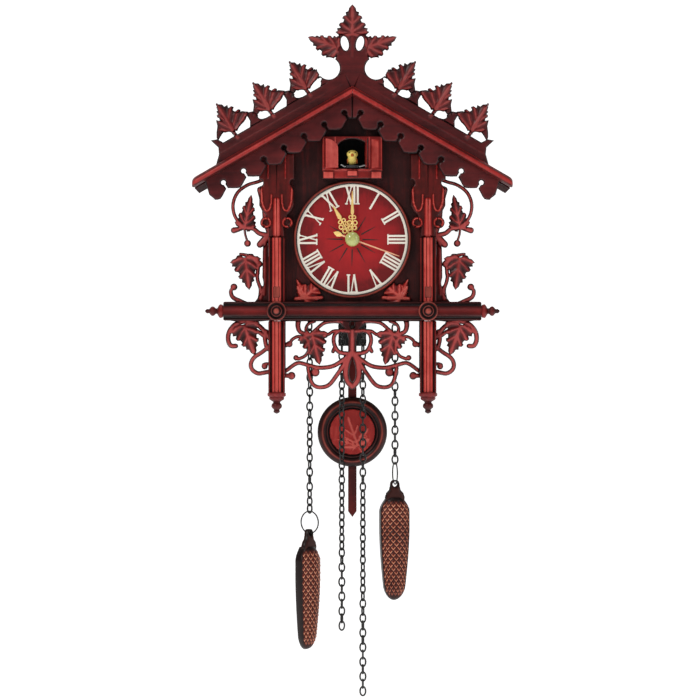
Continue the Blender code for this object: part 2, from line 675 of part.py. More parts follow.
def make_lower_frets():
    """Side fretwork below the bar: a C scroll round a drooping leaf, and a smaller scroll on the post."""
    high = BAR_BOTTOM / MM
    for side, sign in (("left", -1), ("right", 1)):
        def line(points, width, end_width=None):
            return stroke(beside_post([(out, high + up) for out, up in points], sign), width, end_width)

        def spot(out, up):
            return beside_post([(out, high + up)], sign)[0]

        curl = spot(10.4, -38.6)
        upper_line = [(6, -15), (8, -12.4), (12.3, -7), (18.2, -2.4), (26.2, -0.4), (34.8, -2.8)]
        upper_line += [(40.2, -9), (41.3, -16), (39.1, -21), (34.8, -21.4)]
        lower_line = [(5, -20.5), (12.3, -26.4), (19.3, -31.2), (22, -36.4), (20.9, -41.4)]
        lower_line += [(16, -44.6), (9.6, -43.8), (5, -43)]
        solids = [
            line(upper_line, 3.6),
            line([(15.6, -9.4), (11.7, -12.4)], 3),
            leaf(spot(28.4, -2.5), spot(18.4, -29.5), 27),
            line(lower_line, 3.2, 3.4),
            line([(9, -9), (10.2, -14), (8.4, -23), (5, -24)], 3.4),
            circle(curl[0] * MM, curl[1] * MM, 2.7 * MM),
            line([(11.4, -37.2), (8.4, -36.4), (5, -37.6)], 2.4),
            [tuple(v * MM for v in spot(*corner)) for corner in ((2, 5), (42, 5), (42, 0.5), (30, -1.5), (20, -1.2), (2, 0.5))],
            [tuple(v * MM for v in spot(*corner)) for corner in ((2, 5), (6.5, 5), (6.5, -48), (2, -48))],
        ]
        board(f"lower_fret_{side}", solids, [], FRET_FRONT, FACADE_Y, "mahogany")


def make_bottom_fret():
    """Centre fretwork between the posts: a stem with two leaves, scrolls to the posts and loops below."""
    high = BAR_BOTTOM / MM

    def line(points, width, end_width=None):
        return stroke([(across * FRET_SPREAD, high + up) for across, up in points], width, end_width)

    half = [
        line([(-9, -1), (-16, -0.6), (-24, -2), (-31, -7.6), (-36, -12)], 3, 2.6),
        line([(-32, -0.5), (-37.6, -3), (-39.4, -8), (-36, -11.6)], 2.4),
        line([(-45.2, 2), (-46.2, -4), (-44, -9.6), (-35.5, -12)], 4.2, 3),
        line([(-4, -9.2), (-14.8, -8.6), (-20, -11.4), (-24, -13)], 2.6),
        leaf((-34.5 * FRET_SPREAD, high - 10), (-27.6 * FRET_SPREAD, high - 37.5), 27),
        line([(-53, -19), (-50.6, -15.6), (-45.2, -13.4), (-38.6, -16), (-36.6, -23), (-39.9, -29.6), (-45.9, -32.4)], 2.6),
        circle(-53.4 * MM * FRET_SPREAD, (high - 19.8) * MM, 2.8 * MM),
        circle(-47.8 * MM * FRET_SPREAD, (high - 31.4) * MM, 2.4 * MM),
        line([(-61, -45.5), (-55.8, -42), (-46.7, -36), (-38.3, -37.4), (-28.5, -39.8), (-17.8, -38.8)]
             + [(-10.3, -35), (-2.7, -29)], 3, 3.4),
        line([(-5, -33), (-8.4, -39), (-12.4, -45), (-19.4, -54), (-26.2, -56.4), (-32.3, -55)]
             + [(-35.6, -49.6), (-37.6, -40)], 3.4, 3),
        circle(-31.5 * MM * FRET_SPREAD, (high - 43.6) * MM, 3.8 * MM),
        circle(-51.6 * MM * FRET_SPREAD, (high - 46.6) * MM, 3.4 * MM),
        line([(-61, -46), (-55, -46.6), (-51.6, -46.6)], 3.4),
        line([(-1.6, -28), (-4.6, -36), (-5.6, -44), (-4.2, -51), (0, -56)], 5, 4.4),
        line([(-3, -9), (-10, -8.4), (-15, -12), (-15.6, -19), (-11.4, -26.4), (-2, -28)], 2.8, 3.4),
        line([(-14.6, -22), (-16.4, -26)], 3, 3),
        line([(-61, -22), (-56, -20.4), (-53.4, -19.8)], 3.6),
    ]
    post_edge = (POST_X - POST_WIDTH / 2) / MM
    stem = [(-11, 4), (11, 4), (10, -3), (5, -9), (3, -18), (3.4, -30), (-3.4, -30), (-3, -18), (-5, -9), (-10, -3)]
    solids = half + mirrored(half)
    solids.append([(across * MM, (high + up) * MM) for across, up in stem])
    solids.append(rectangle(-(post_edge + 2) * MM, (high - 0.5) * MM, (post_edge + 2) * MM, (high + 4.6) * MM))
    for sign in (-1, 1):
        edge = [sign * (post_edge - 0.5) * MM, sign * (post_edge + 4) * MM]
        solids.append(rectangle(min(edge), (high - 48) * MM, max(edge), (high + 4.6) * MM))
    holes = [ellipse(0, (high - 3) * MM, 3.6 * MM, 1.9 * MM, math.radians(90), 10)]
    board("bottom_fret", solids, holes, FRET_FRONT, FACADE_Y, "mahogany")


def make_corner_leaves():
    """A leaf in each lower corner of the front, cut round the rim of the dial."""
    low = (BAR_TOP + 0.6 * MM) / MM
    for side, sign in (("left", -1), ("right", 1)):
        inner = DIAL_RADIUS / MM
        solids = [
            leaf((sign * (inner - 8), low + 2), (sign * (inner - 26), low + 17), 24),
            leaf((sign * (inner - 10), low + 3), (sign * (inner - 2.5), low + 19), 13),
            stroke([(sign * (inner - 2), low + 2), (sign * (inner - 12), low + 2.4), (sign * (inner - 24), low + 3)], 3.6),
        ]
        holes = [circle(0, DIAL_Z, DIAL_RADIUS + 0.5 * MM, 64)]
        board(f"corner_leaf_{side}", solids, holes, FACADE_Y - 4 * MM, FACADE_Y, "red_wood")


# Dial and hands


def make_dial():
    rim_inner = DIAL_RADIUS - 3 * MM
    near, plate_front = FACADE_Y, FACADE_Y - 3.5 * MM
    shape = [(0, rim_inner + GAP), (0, DIAL_RADIUS), (-4, DIAL_RADIUS), (-6.4, DIAL_RADIUS - 1 * MM)]
    shape += [(-6.8, DIAL_RADIUS - 1.8 * MM), (-5.6, rim_inner + GAP)]
    profile = [(along * MM, radius) for along, radius in shape]
    turned("dial_rim", profile, (0, near, DIAL_Z), "Y", "dark_wood", 48, closed=True)
    hole = circle(0, DIAL_Z, 5 * MM, 16)
    board("dial_plate", [circle(0, DIAL_Z, rim_inner, 48)], [hole], plate_front, near, "dial_red")
    ring_hole = circle(0, DIAL_Z, rim_inner - 2.1 * MM, 48)
    ring_back = plate_front - GAP
    board("chapter_ring", [circle(0, DIAL_Z, rim_inner, 48)], [ring_hole], ring_back - 0.7 * MM, ring_back, "cream")
    return plate_front


def turned_about(outlines, centre_z, angle):
    """Outlines drawn with a hand upright, turned clockwise on the dial."""
    made = []
    for outline in outlines:
        turned_outline = []
        for across, up in outline:
            x = across * math.cos(angle) + up * math.sin(angle)
            z = -across * math.sin(angle) + up * math.cos(angle)
            turned_outline.append((x, centre_z + z))
        made.append(turned_outline)
    return made


def pierced_hand(length, hub, loops):
    """An upright pierced hand: hub, a chain of loops and a slender point."""
    solids = [circle(0, 0, hub, 14), stroke([(0, 0), (0, length / MM * 0.9)], 1.4)]
    holes = []
    for height, radius in loops:
        solids.append(circle(0, height, radius, 12))
        for sign in (-1, 1):
            holes.append(ellipse(sign * radius * 0.48, height, radius * 0.5, radius * 0.2, math.radians(90), 8))
    start = max(height + radius for height, radius in loops)
    point = [(-1.5 * MM, start + 3 * MM), (0, start - 0.5 * MM), (1.5 * MM, start + 3 * MM), (0, length)]
    solids.append(point)
    return solids, holes


def make_hands(plate_front):
    """Three hands on concentric arbors, set to eleven o'clock."""
    axis = (0, 0, DIAL_Z)
    hour_back = plate_front - 2.6 * MM
    hour_solids, hour_holes = pierced_hand(33 * MM, 4.4 * MM, [(9.5 * MM, 4.2 * MM), (17 * MM, 3 * MM)])
    turn = math.radians(-30)
    hub_hole = circle(0, DIAL_Z, 3.5 * MM, 14)
    holes = turned_about(hour_holes, DIAL_Z, turn) + [hub_hole]
    solids = turned_about(hour_solids, DIAL_Z, turn)
    board("hour_hand", solids, holes, hour_back - 0.7 * MM, hour_back, "gilt", origin=axis)
    minute_back = hour_back - 1.4 * MM
    minute_solids, minute_holes = pierced_hand(41 * MM, 3.6 * MM, [(10 * MM, 3.6 * MM), (19 * MM, 2.6 * MM)])
    hub_hole = circle(0, DIAL_Z, 2.3 * MM, 14)
    holes = turned_about(minute_holes, DIAL_Z, 0) + [hub_hole]
    solids = turned_about(minute_solids, DIAL_Z, 0)
    board("minute_hand", solids, holes, minute_back - 0.7 * MM, minute_back, "gilt", origin=axis)
    second_back = minute_back - 1.4 * MM
    turn = math.radians(110)
    needle = [stroke([(0, -12), (0, 38)], 1.6, 0.9), stroke([(0, 30), (0, 42)], 0.9, 0.5)]
    needle.append([(0, -17 * MM), (2 * MM, -13.5 * MM), (0, -9 * MM), (-2 * MM, -13.5 * MM)])
    solids = turned_about(needle, DIAL_Z, turn)
    second = board("second_hand", solids, [], second_back - 0.6 * MM, second_back, "gilt", origin=axis)
    shape = [(0.3, 6.4), (-1.6, 6.9), (-3.2, 5.8), (-4.3, 3.6), (-4.8, 1)]
    cap = turned(
        "second_cap",
        [(along * MM, radius * MM) for along, radius in shape],
        (0, second_back - 0.3 * MM, DIAL_Z),
        "Y",
        "cream",
        20,
    )
    boolean(second, cap, "UNION")
    return hour_back, minute_back, second_back


def make_movement(hour_back, minute_back, second_back):
    """The quartz movement: an open tray behind the front board, its wheels, cover and battery."""
    front = -CASE_DEPTH + BOARD + GAP
    half = MOVEMENT_SIDE / 2
    wall = 1.2 * MM
    outer = rectangle(-half, DIAL_Z - half, half, DIAL_Z + half)
    tray = board("movement_case", [outer], [], front, MOVEMENT_BACK, "black_plastic")
    inner_low = (-half + wall, front + wall, DIAL_Z - half + wall)
    inner_high = (half - wall, MOVEMENT_BACK + 2 * MM, DIAL_Z + half - wall)
    boolean(tray, block("tray_hollow", inner_low, inner_high, "black_plastic"), "DIFFERENCE")
    bush_shape = [(0.5, 3.6), (0.5, 4.6), (-10.2, 4.6), (-10.2, 3.6)]
    bush = turned(
        "tray_bush",
        [(along * MM, radius * MM) for along, radius in bush_shape],
        (0, front, DIAL_Z),
        "Y",
        "black_plastic",
        16,
        closed=True,
    )
    hole = turned("bush_bore", [(-12 * MM, 3.6 * MM), (4 * MM, 3.6 * MM)], (0, front, DIAL_Z), "Y", "black_plastic", 16)
    boolean(tray, bush, "UNION")
    boolean(tray, hole, "DIFFERENCE")
    axis = (0, 0, DIAL_Z)
    tray_floor = front + wall
    wheels = [
        ("hour_wheel", hour_back - 0.4 * MM, tray_floor + 0.4 * MM, 1.4 * MM, 12 * MM, 2.5 * MM, 3.2 * MM),
        ("minute_wheel", minute_back - 0.4 * MM, tray_floor + 2.6 * MM, 1.4 * MM, 10 * MM, 1.2 * MM, 2.0 * MM),
    ]
    for name, pipe_front, wheel_front, thick, radius, bore, pipe in wheels:
        shape = [(pipe_front, bore), (pipe_front, pipe), (wheel_front, pipe), (wheel_front, radius)]
        shape += [(wheel_front + thick, radius), (wheel_front + thick, bore)]
        turned(name, shape, axis, "Y", "white_plastic", 24, origin=axis, closed=True)
    wheel_front = tray_floor + 4.8 * MM
    arbor = 0.8 * MM
    shape = [(second_back + GAP, arbor), (wheel_front, arbor), (wheel_front, 11 * MM), (wheel_front + 1.2 * MM, 11 * MM)]
    shape += [(wheel_front + 1.2 * MM, 1.5 * MM), (MOVEMENT_BACK - 1.5 * MM, 1.5 * MM)]
    turned("second_wheel", shape, axis, "Y", "white_plastic", 24, origin=axis)
    knob_hole = circle(0, DIAL_Z, 2.5 * MM, 12)
    cover_front = MOVEMENT_BACK + GAP
    board("movement_cover", [outer], [knob_hole], cover_front, cover_front + COVER_THICKNESS, "black_plastic")
    cell = [(-25, 1), (-24, 6.9), (23.4, 6.9), (24, 2.7), (25.2, 2.7)]
    middle = (tray_floor + MOVEMENT_BACK) / 2
    turned(
        "battery",
        [(along * MM, radius * MM) for along, radius in cell],
        (0, middle, DIAL_Z - half + wall + 7.3 * MM),
        "X",
        "battery_skin",
        16,
    )


# Porch, doors and bird


def make_porch():
    """The bird's porch: a block with an arched doorway, pilaster feet and a sill."""
    top = DOORWAY_TOP + 2.2 * MM
    outer = rectangle(-PORCH_HALF_WIDTH, PORCH_BOTTOM, PORCH_HALF_WIDTH, top)
    doorway = arch(DOORWAY_WIDTH / 2, DOORWAY_BOTTOM, DOORWAY_TOP)
    porch = board("bird_house", [outer], [doorway], PORCH_FRONT, FACADE_Y, "red_wood")
    for sign in (-1, 1):
        middle = sign * (PORCH_HALF_WIDTH - 5 * MM)
        low = (middle - 4.6 * MM, PORCH_FRONT - 1.6 * MM, PORCH_BOTTOM)
        high = (middle + 4.6 * MM, PORCH_FRONT + 1 * MM, PORCH_BOTTOM + 6.5 * MM)
        boolean(porch, block(f"porch_foot_{sign}", low, high, "red_wood"), "UNION")
    low = (-4.5 * MM, PORCH_FRONT - 1.8 * MM, PORCH_BOTTOM + 2 * MM)
    high = (4.5 * MM, PORCH_FRONT + 1 * MM, PORCH_BOTTOM + 7.4 * MM)
    boolean(porch, block("porch_step", low, high, "red_wood"), "UNION")


def make_doors():
    """Two arched leaves on hinges at the outer edges of the doorway, standing open."""
    half_width = DOORWAY_WIDTH / 2
    back = HINGE_Y + 0.5 * MM
    for side, sign, opened in (("left", -1, LEFT_DOOR_OPEN), ("right", 1, RIGHT_DOOR_OPEN)):
        whole = arch(half_width - 0.4 * MM, DOORWAY_BOTTOM + 0.4 * MM, DOORWAY_TOP - 0.4 * MM)
        other_half = rectangle(sign * MEETING_GAP / 2, -0.2, sign * -0.1, 0.1)
        hinge = Vector((sign * half_width, HINGE_Y, 0))
        door = board(f"door_{side}", [whole], [other_half], back, back + DOOR_THICKNESS, "red_wood", origin=hinge)
        door.rotation_euler = (0, 0, sign * opened)


def make_bird():
    """The bird stands on a sliding arm, with a wire to each door."""
    front = PORCH_FRONT - 3 * MM
    sill = DOORWAY_BOTTOM + 0.5 * MM
    arm_solids = [
        rectangle(-2.5 * MM, front, 2.5 * MM, front + 46 * MM),
        rectangle(-5 * MM, front + 2 * MM, 5 * MM, front + 4 * MM),
    ]
    board("bird_arm", arm_solids, [], sill, sill + 2 * MM, "black_plastic", plane="XY")
    wire_y = front + 3 * MM
    for side, sign, reach in (("left", -1, 9.5 * MM), ("right", 1, 12.2 * MM)):
        rise = 2.6 * MM
        line = [(sign * 5.9 * MM, sill + 1 * MM), (sign * 7 * MM, sill + 1 * MM), (sign * reach, sill + rise)]
        outline = stroke([(across / MM, up / MM) for across, up in line], 1.0)
        board(f"door_wire_{side}", [outline], [], wire_y - 0.4 * MM, wire_y + 0.4 * MM, "steel_wire")
    rings = []
    feet = sill + 2 * MM + GAP
    small = BIRD_SIZE * MM
    stations = [
        (0, 0.3, 0.0), (0.6, 1.8, 0), (2.6, 4.4, 0.4), (5, 5.0, 0.2), (7, 4.4, -0.6), (8, 4.2, -1.2),
        (9.4, 5.2, -2.0), (11.4, 5.6, -2.2), (13.4, 4.6, -2.0), (14.8, 2.2, -1.8), (15.2, 0.4, -1.8),
    ]
    for up, radius, lean in stations:
        ring = []
        for step in range(12):
            turn = 2 * math.pi * step / 12
            y = front + 8 * MM + (lean + radius * math.sin(turn)) * small
            ring.append((radius * math.cos(turn) * small, y, feet + up * small))
        rings.append(ring)
    bird = loft("bird", rings, "bird_paint", smooth=True)
    beak = turned(
        "bird_beak",
        [(1.5 * small, 1.9 * small), (-1.2 * small, 1.5 * small), (-3 * small, 0.3 * small)],
        (0, front + 8 * MM - 6.4 * small, feet + 10.2 * small),
        "Y",
        "bird_paint",
        8,
    )
    tail_low = (-2 * small, front + 8 * MM + 3 * small, feet + 3 * small)
    tail_high = (2 * small, front + 8 * MM + 12 * small, feet + 5 * small)
    boolean(bird, beak, "UNION")
    boolean(bird, block("bird_tail", tail_low, tail_high, "bird_paint"), "UNION")
    low = (-18 * MM, -50 * MM, sill - 28 * MM)
    high = (18 * MM, -16.4 * MM, sill - 4 * MM)
    drive = block("cuckoo_drive", low, high, "black_plastic")
    low = (-14 * MM, -19.4 * MM, sill - 6 * MM)
    high = (14 * MM, -16.4 * MM, sill + 31 * MM)
    boolean(drive, block("drive_back_plate", low, high, "black_plastic"), "UNION")


def make_speaker():
    """The loudspeaker on the inside of the right wall."""
    wall = CASE_HALF_WIDTH - BOARD - GAP
    shape = [(0, 20), (-3, 20), (-7, 11), (-12, 11)]
    profile = [(along * MM, radius * MM) for along, radius in shape]
    turned("speaker", profile, (wall, -38 * MM, DIAL_Z + 36 * MM), "X", "black_plastic", 20)


# Pendulum


def make_pendulum():
    pivot = (0, PENDULUM_Y, PENDULUM_PIVOT_Z)
    thick = 3 * MM
    front, back = PENDULUM_Y - thick / 2, PENDULUM_Y + thick / 2
    drive_back = -BOARD - GAP
    drive_low = (-12 * MM, back + GAP, CASE_BOTTOM - GAP - 26 * MM)
    drive_high = (12 * MM, drive_back, CASE_BOTTOM - GAP)
    drive = block("pendulum_drive", drive_low, drive_high, "black_plastic")
    pin = turned(
        "pendulum_pin",
        [(back + 3 * MM, 1.2 * MM), (front - 0.6 * MM, 1.2 * MM)],
        (0, 0, PENDULUM_PIVOT_Z),
        "Y",
        "black_plastic",
        12,
    )
    boolean(drive, pin, "UNION")
    half = ROD_WIDTH / 2
    top = PENDULUM_PIVOT_Z
    shaft = [(-half, top), (-half, PENDULUM_TIP_Z + 5 * MM), (0, PENDULUM_TIP_Z), (half, PENDULUM_TIP_Z + 5 * MM)]
    shaft.append((half, top))
    head = circle(0, top, half + 0.6 * MM, 16)
    eye = circle(0, top, 1.6 * MM, 12)
    board("pendulum_rod", [shaft, head], [eye], front, back, "red_wood", origin=pivot)
    bob_back = front - GAP
    shape = [(0, 0.82), (-1.6, 1), (-3.4, 1), (-5.8, 0.94), (-6.8, 0.82), (-5.6, 0.7), (-4.4, 0.66)]
    profile = [(along * MM, share * BOB_RADIUS) for along, share in shape]
    profile += [(-4.4 * MM, 0.3 * BOB_RADIUS), (-5.4 * MM, 0.26 * BOB_RADIUS), (-6.4 * MM, 0.12 * BOB_RADIUS)]
    turned("pendulum_bob", profile, (0, bob_back, BOB_Z), "Y", "dark_wood", 32, origin=pivot)


# Chains, rings and weights


def make_chain_wheels():
    wheel = CHAIN_WHEEL_RADIUS - CHAIN_DIAMETER / 2 - 0.4 * MM
    for side, sign in (("left", -1), ("right", 1)):
        centre = (sign * CHAIN_WHEEL_X, CHAIN_Y, CHAIN_WHEEL_Z)
        shape = [(-5.2 * MM, 1.4 * MM), (-2.6 * MM, 1.4 * MM), (-2.6 * MM, wheel), (-1.6 * MM, wheel)]
        shape += [(-0.8 * MM, wheel - 2 * MM), (0.8 * MM, wheel - 2 * MM), (1.6 * MM, wheel)]
        shape += [(2.6 * MM, wheel), (2.6 * MM, 1.4 * MM), (5.2 * MM, 1.4 * MM)]
        turned(f"chain_wheel_{side}", shape, centre, "Y", "black_plastic", 20, origin=centre)


def make_tube(name, start, end, diameter, finish):
    """A plain round tube along a hanging run."""
    curve = bpy.data.curves.new(name, "CURVE")
    curve.dimensions = "3D"
    curve.bevel_depth = diameter / 2
    curve.bevel_resolution = 2
    curve.use_fill_caps = True
    steps = max(2, round((Vector(end) - Vector(start)).length / (diameter * 3)))
    line = curve.splines.new("POLY")
    line.points.add(steps)
    for index in range(steps + 1):
        point = Vector(start).lerp(Vector(end), index / steps)
        line.points[index].co = (*point, 1)
    curve.materials.append(finish_material(finish))
    thing = bpy.data.objects.new(name, curve)
    bpy.context.scene.collection.objects.link(thing)
    return thing


def make_chains():
    for name, bottom in CHAIN_BOTTOM.items():
        outer = name.startswith("weight")
        sign = -1 if name.endswith("left") else 1
        across = sign * (OUTER_CHAIN_X if outer else INNER_CHAIN_X)
        top = WEIGHT_CHAIN_TOP if outer else FREE_CHAIN_TOP
        make_tube(name, (across, CHAIN_Y, top), (across, CHAIN_Y, bottom), CHAIN_DIAMETER, "burnished_metal")


def make_ring(side, centre, turn):
    """A wire ring that hangs square to the weight's plate."""
    rings = []
    radius = RING_RADIUS - RING_WIRE / 2
    way = Matrix.Rotation(turn, 3, "Z") @ Vector((0, 1, 0))
    across = Matrix.Rotation(turn, 3, "Z") @ Vector((1, 0, 0))
    for step in range(28):
        around = 2 * math.pi * step / 28
        out = way * math.cos(around) + Vector((0, 0, 1)) * math.sin(around)
        ring = []
        for corner in range(8):
            bend = 2 * math.pi * corner / 8
            ring.append(centre + out * (radius + RING_WIRE / 2 * math.cos(bend)) + across * RING_WIRE / 2 * math.sin(bend))
        rings.append(ring)
    loft(f"weight_ring_{side}", rings, "burnished_metal", True, centre, closed=True)


def cone_width(share):
    """Width of the pine cone, as a share of its widest, at a share of its length from the shoulder."""
    shoulder = 0.55 + 0.45 * math.sin(min(share / 0.14, 1) * math.pi / 2)
    taper = 1 - 0.38 * max(0, (share - 0.3) / 0.7) ** 1.6
    foot = math.sqrt(1 - ((share - 0.86) / 0.14) ** 2) if 0.86 < share < 1 else float(share <= 0.86)
    return shoulder * taper * foot


def make_weight(side, eye, turn):
    """A flat-backed half pine cone with a pierced neck, hung from its ring."""
    depth, half = WEIGHT_DEPTH, WEIGHT_WIDTH / 2
    back = depth * 0.45
    turn_matrix = Matrix.Rotation(turn, 3, "Z")
    shoulder = eye.z - WEIGHT_NECK + 4 * MM
    rings = []
    shares = [0, 0.04, 0.12, 0.25, 0.4, 0.55, 0.7, 0.82, 0.91, 0.97, 1.0]
    for share in shares:
        width = max(cone_width(share), 0.16) * half
        dome = depth * max(cone_width(share), 0.2) ** 0.7
        ring = []
        for step in range(11):
            around = math.pi * step / 10
            x, y = width * math.cos(around), back - dome * math.sin(around)
            ring.append(turn_matrix @ Vector((x, y, 0)) + Vector((eye.x, eye.y, shoulder - share * WEIGHT_LENGTH)))
        rings.append(ring)
    weight = loft(f"weight_{side}", rings, "cone_wood", smooth=True, origin=eye)
    bottom = shoulder - 3 * MM
    hole_r = 2.4 * MM
    neck = [(-6.4 * MM, bottom), (6.4 * MM, bottom), (4.4 * MM, eye.z - 2 * MM), (2.6 * MM, eye.z + 3.6 * MM)]
    neck += [(-2.6 * MM, eye.z + 3.6 * MM), (-4.4 * MM, eye.z - 2 * MM)]
    plate = board(f"weight_neck_{side}", [neck], [circle(0, eye.z, hole_r)], -2 * MM, 2 * MM, "cone_wood")
    plate.data.transform(Matrix.Translation((eye.x, eye.y, 0)) @ turn_matrix.to_4x4())
    boolean(weight, plate, "UNION")


def make_weights():
    for side, sign in (("left", -1), ("right", 1)):
        turn = WEIGHT_TURN[side]
        ring_top = CHAIN_BOTTOM[f"weight_chain_{side}"] - 0.4 * MM
        centre = Vector((sign * OUTER_CHAIN_X, CHAIN_Y, ring_top - RING_RADIUS))
        make_ring(side, centre, turn)
        eye = centre - Vector((0, 0, RING_RADIUS - RING_WIRE / 2))
        make_weight(side, eye, turn)


def main():
    clear_scene()
    make_case()
    make_roof()
    make_crest()
    make_fascia()
    make_fringe()
    make_posts()
    make_bar()
    make_capitals()
    make_upper_frets()
    make_lower_frets()
    make_bottom_fret()
    make_corner_leaves()
    plate_front = make_dial()
    arbors = make_hands(plate_front)
    make_movement(*arbors)
    make_porch()
    make_doors()
    make_bird()
    make_speaker()
    make_pendulum()
    make_chain_wheels()
    make_chains()
    make_weights()


main()
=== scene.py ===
import math
import random

import bmesh
import bpy
import numpy as np
from mathutils import Matrix, Vector
from mathutils.geometry import delaunay_2d_cdt


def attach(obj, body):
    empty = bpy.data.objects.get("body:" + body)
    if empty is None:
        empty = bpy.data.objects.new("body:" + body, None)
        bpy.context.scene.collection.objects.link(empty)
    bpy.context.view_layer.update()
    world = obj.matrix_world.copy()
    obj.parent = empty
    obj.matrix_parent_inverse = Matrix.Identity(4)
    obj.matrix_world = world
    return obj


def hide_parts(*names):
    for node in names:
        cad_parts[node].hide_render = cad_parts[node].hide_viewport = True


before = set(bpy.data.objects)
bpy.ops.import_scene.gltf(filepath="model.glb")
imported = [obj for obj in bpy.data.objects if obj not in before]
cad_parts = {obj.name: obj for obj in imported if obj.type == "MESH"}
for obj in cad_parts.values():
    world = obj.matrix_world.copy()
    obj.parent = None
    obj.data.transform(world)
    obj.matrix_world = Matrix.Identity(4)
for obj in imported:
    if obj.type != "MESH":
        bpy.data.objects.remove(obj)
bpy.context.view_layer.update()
random.seed(7)
mm = 0.001
dialZ = -96.3  # height of the hands' axis
slope = math.tan(math.radians(30))
along = math.cos(math.radians(30))
print("frame loaded")

camera = bpy.data.objects.new("camera", bpy.data.cameras.new("camera"))
bpy.context.scene.collection.objects.link(camera)
bpy.context.scene.camera = camera
bpy.context.scene.view_settings.view_transform = "Standard"
cameraSpot = {
    "target": (-0.002, -0.085, -0.190), "distance": 3.0, "azimuth": 0.0, "elevation": 0.0, "reach": 0.592
}
turn, lift = math.radians(cameraSpot["azimuth"]), math.radians(cameraSpot["elevation"])
away = Vector((math.sin(turn) * math.cos(lift), -math.cos(turn) * math.cos(lift), math.sin(lift)))
camera.location = Vector(cameraSpot["target"]) + away * cameraSpot["distance"]
camera.rotation_euler = (-away).to_track_quat("-Z", "Y").to_euler()
camera.data.lens = 36 * cameraSpot["distance"] / cameraSpot["reach"]
camera.data.clip_end = 30


def addLight(name, spot, aim, size, power, colour):
    lamp = bpy.data.lights.new(name, "AREA")
    lamp.shape = "RECTANGLE"
    lamp.size, lamp.size_y = size
    lamp.energy = power
    lamp.color = colour
    made = bpy.data.objects.new(name, lamp)
    made.location = spot
    made.rotation_euler = (Vector(aim) - Vector(spot)).to_track_quat("-Z", "Y").to_euler()
    bpy.context.scene.collection.objects.link(made)


addLight("keyLight", (-1.1, -1.5, 0.9), (0, 0, -0.1), (0.6, 0.6), 15, (1.0, 0.96, 0.92))
addLight("fillLight", (1.4, -1.2, 0.2), (0, 0, -0.2), (0.5, 1.2), 5, (0.95, 0.97, 1.0))
addLight("topLight", (0.2, -0.4, 1.3), (0, -0.1, 0), (1.0, 0.4), 5, (1.0, 1.0, 1.0))
world = bpy.data.worlds.new("studioWorld")
world.use_nodes = True
world.node_tree.nodes["Background"].inputs["Color"].default_value = (1.0, 1.0, 1.0, 1.0)
world.node_tree.nodes["Background"].inputs["Strength"].default_value = 0.16
bpy.context.scene.world = world


def shaderNode(tree, kind, inputs, **settings):
    made = tree.nodes.new("ShaderNode" + kind)
    for key, value in settings.items():
        setattr(made, key, value)
    for key, value in inputs.items():
        if isinstance(value, bpy.types.NodeSocket):
            tree.links.new(value, made.inputs[key])
        else:
            made.inputs[key].default_value = value
    return made


def setRamp(made, stops):
    ramp = made.color_ramp
    while len(ramp.elements) < len(stops):
        ramp.elements.new(0.5)
    for element, (place, colour) in zip(ramp.elements, stops):
        element.position = place
        element.color = (*colour, 1.0)


def noiseOf(tree, vector, scale, detail=5.0, roughness=0.55, distortion=0.0):
    values = {
        "Vector": vector, "Scale": scale, "Detail": detail, "Roughness": roughness, "Distortion": distortion
    }
    return shaderNode(tree, "TexNoise", values).outputs["Fac"]


def mathOf(tree, operation, first, second):
    return shaderNode(tree, "Math", {0: first, 1: second}, operation=operation).outputs[0]


def newTree(name):
    made = bpy.data.materials.new(name)
    made.use_nodes = True
    made.node_tree.nodes.clear()
    tree = made.node_tree
    output = tree.nodes.new("ShaderNodeOutputMaterial")
    shader = tree.nodes.new("ShaderNodeBsdfPrincipled")
    tree.links.new(shader.outputs[0], output.inputs[0])
    return made, tree, shader


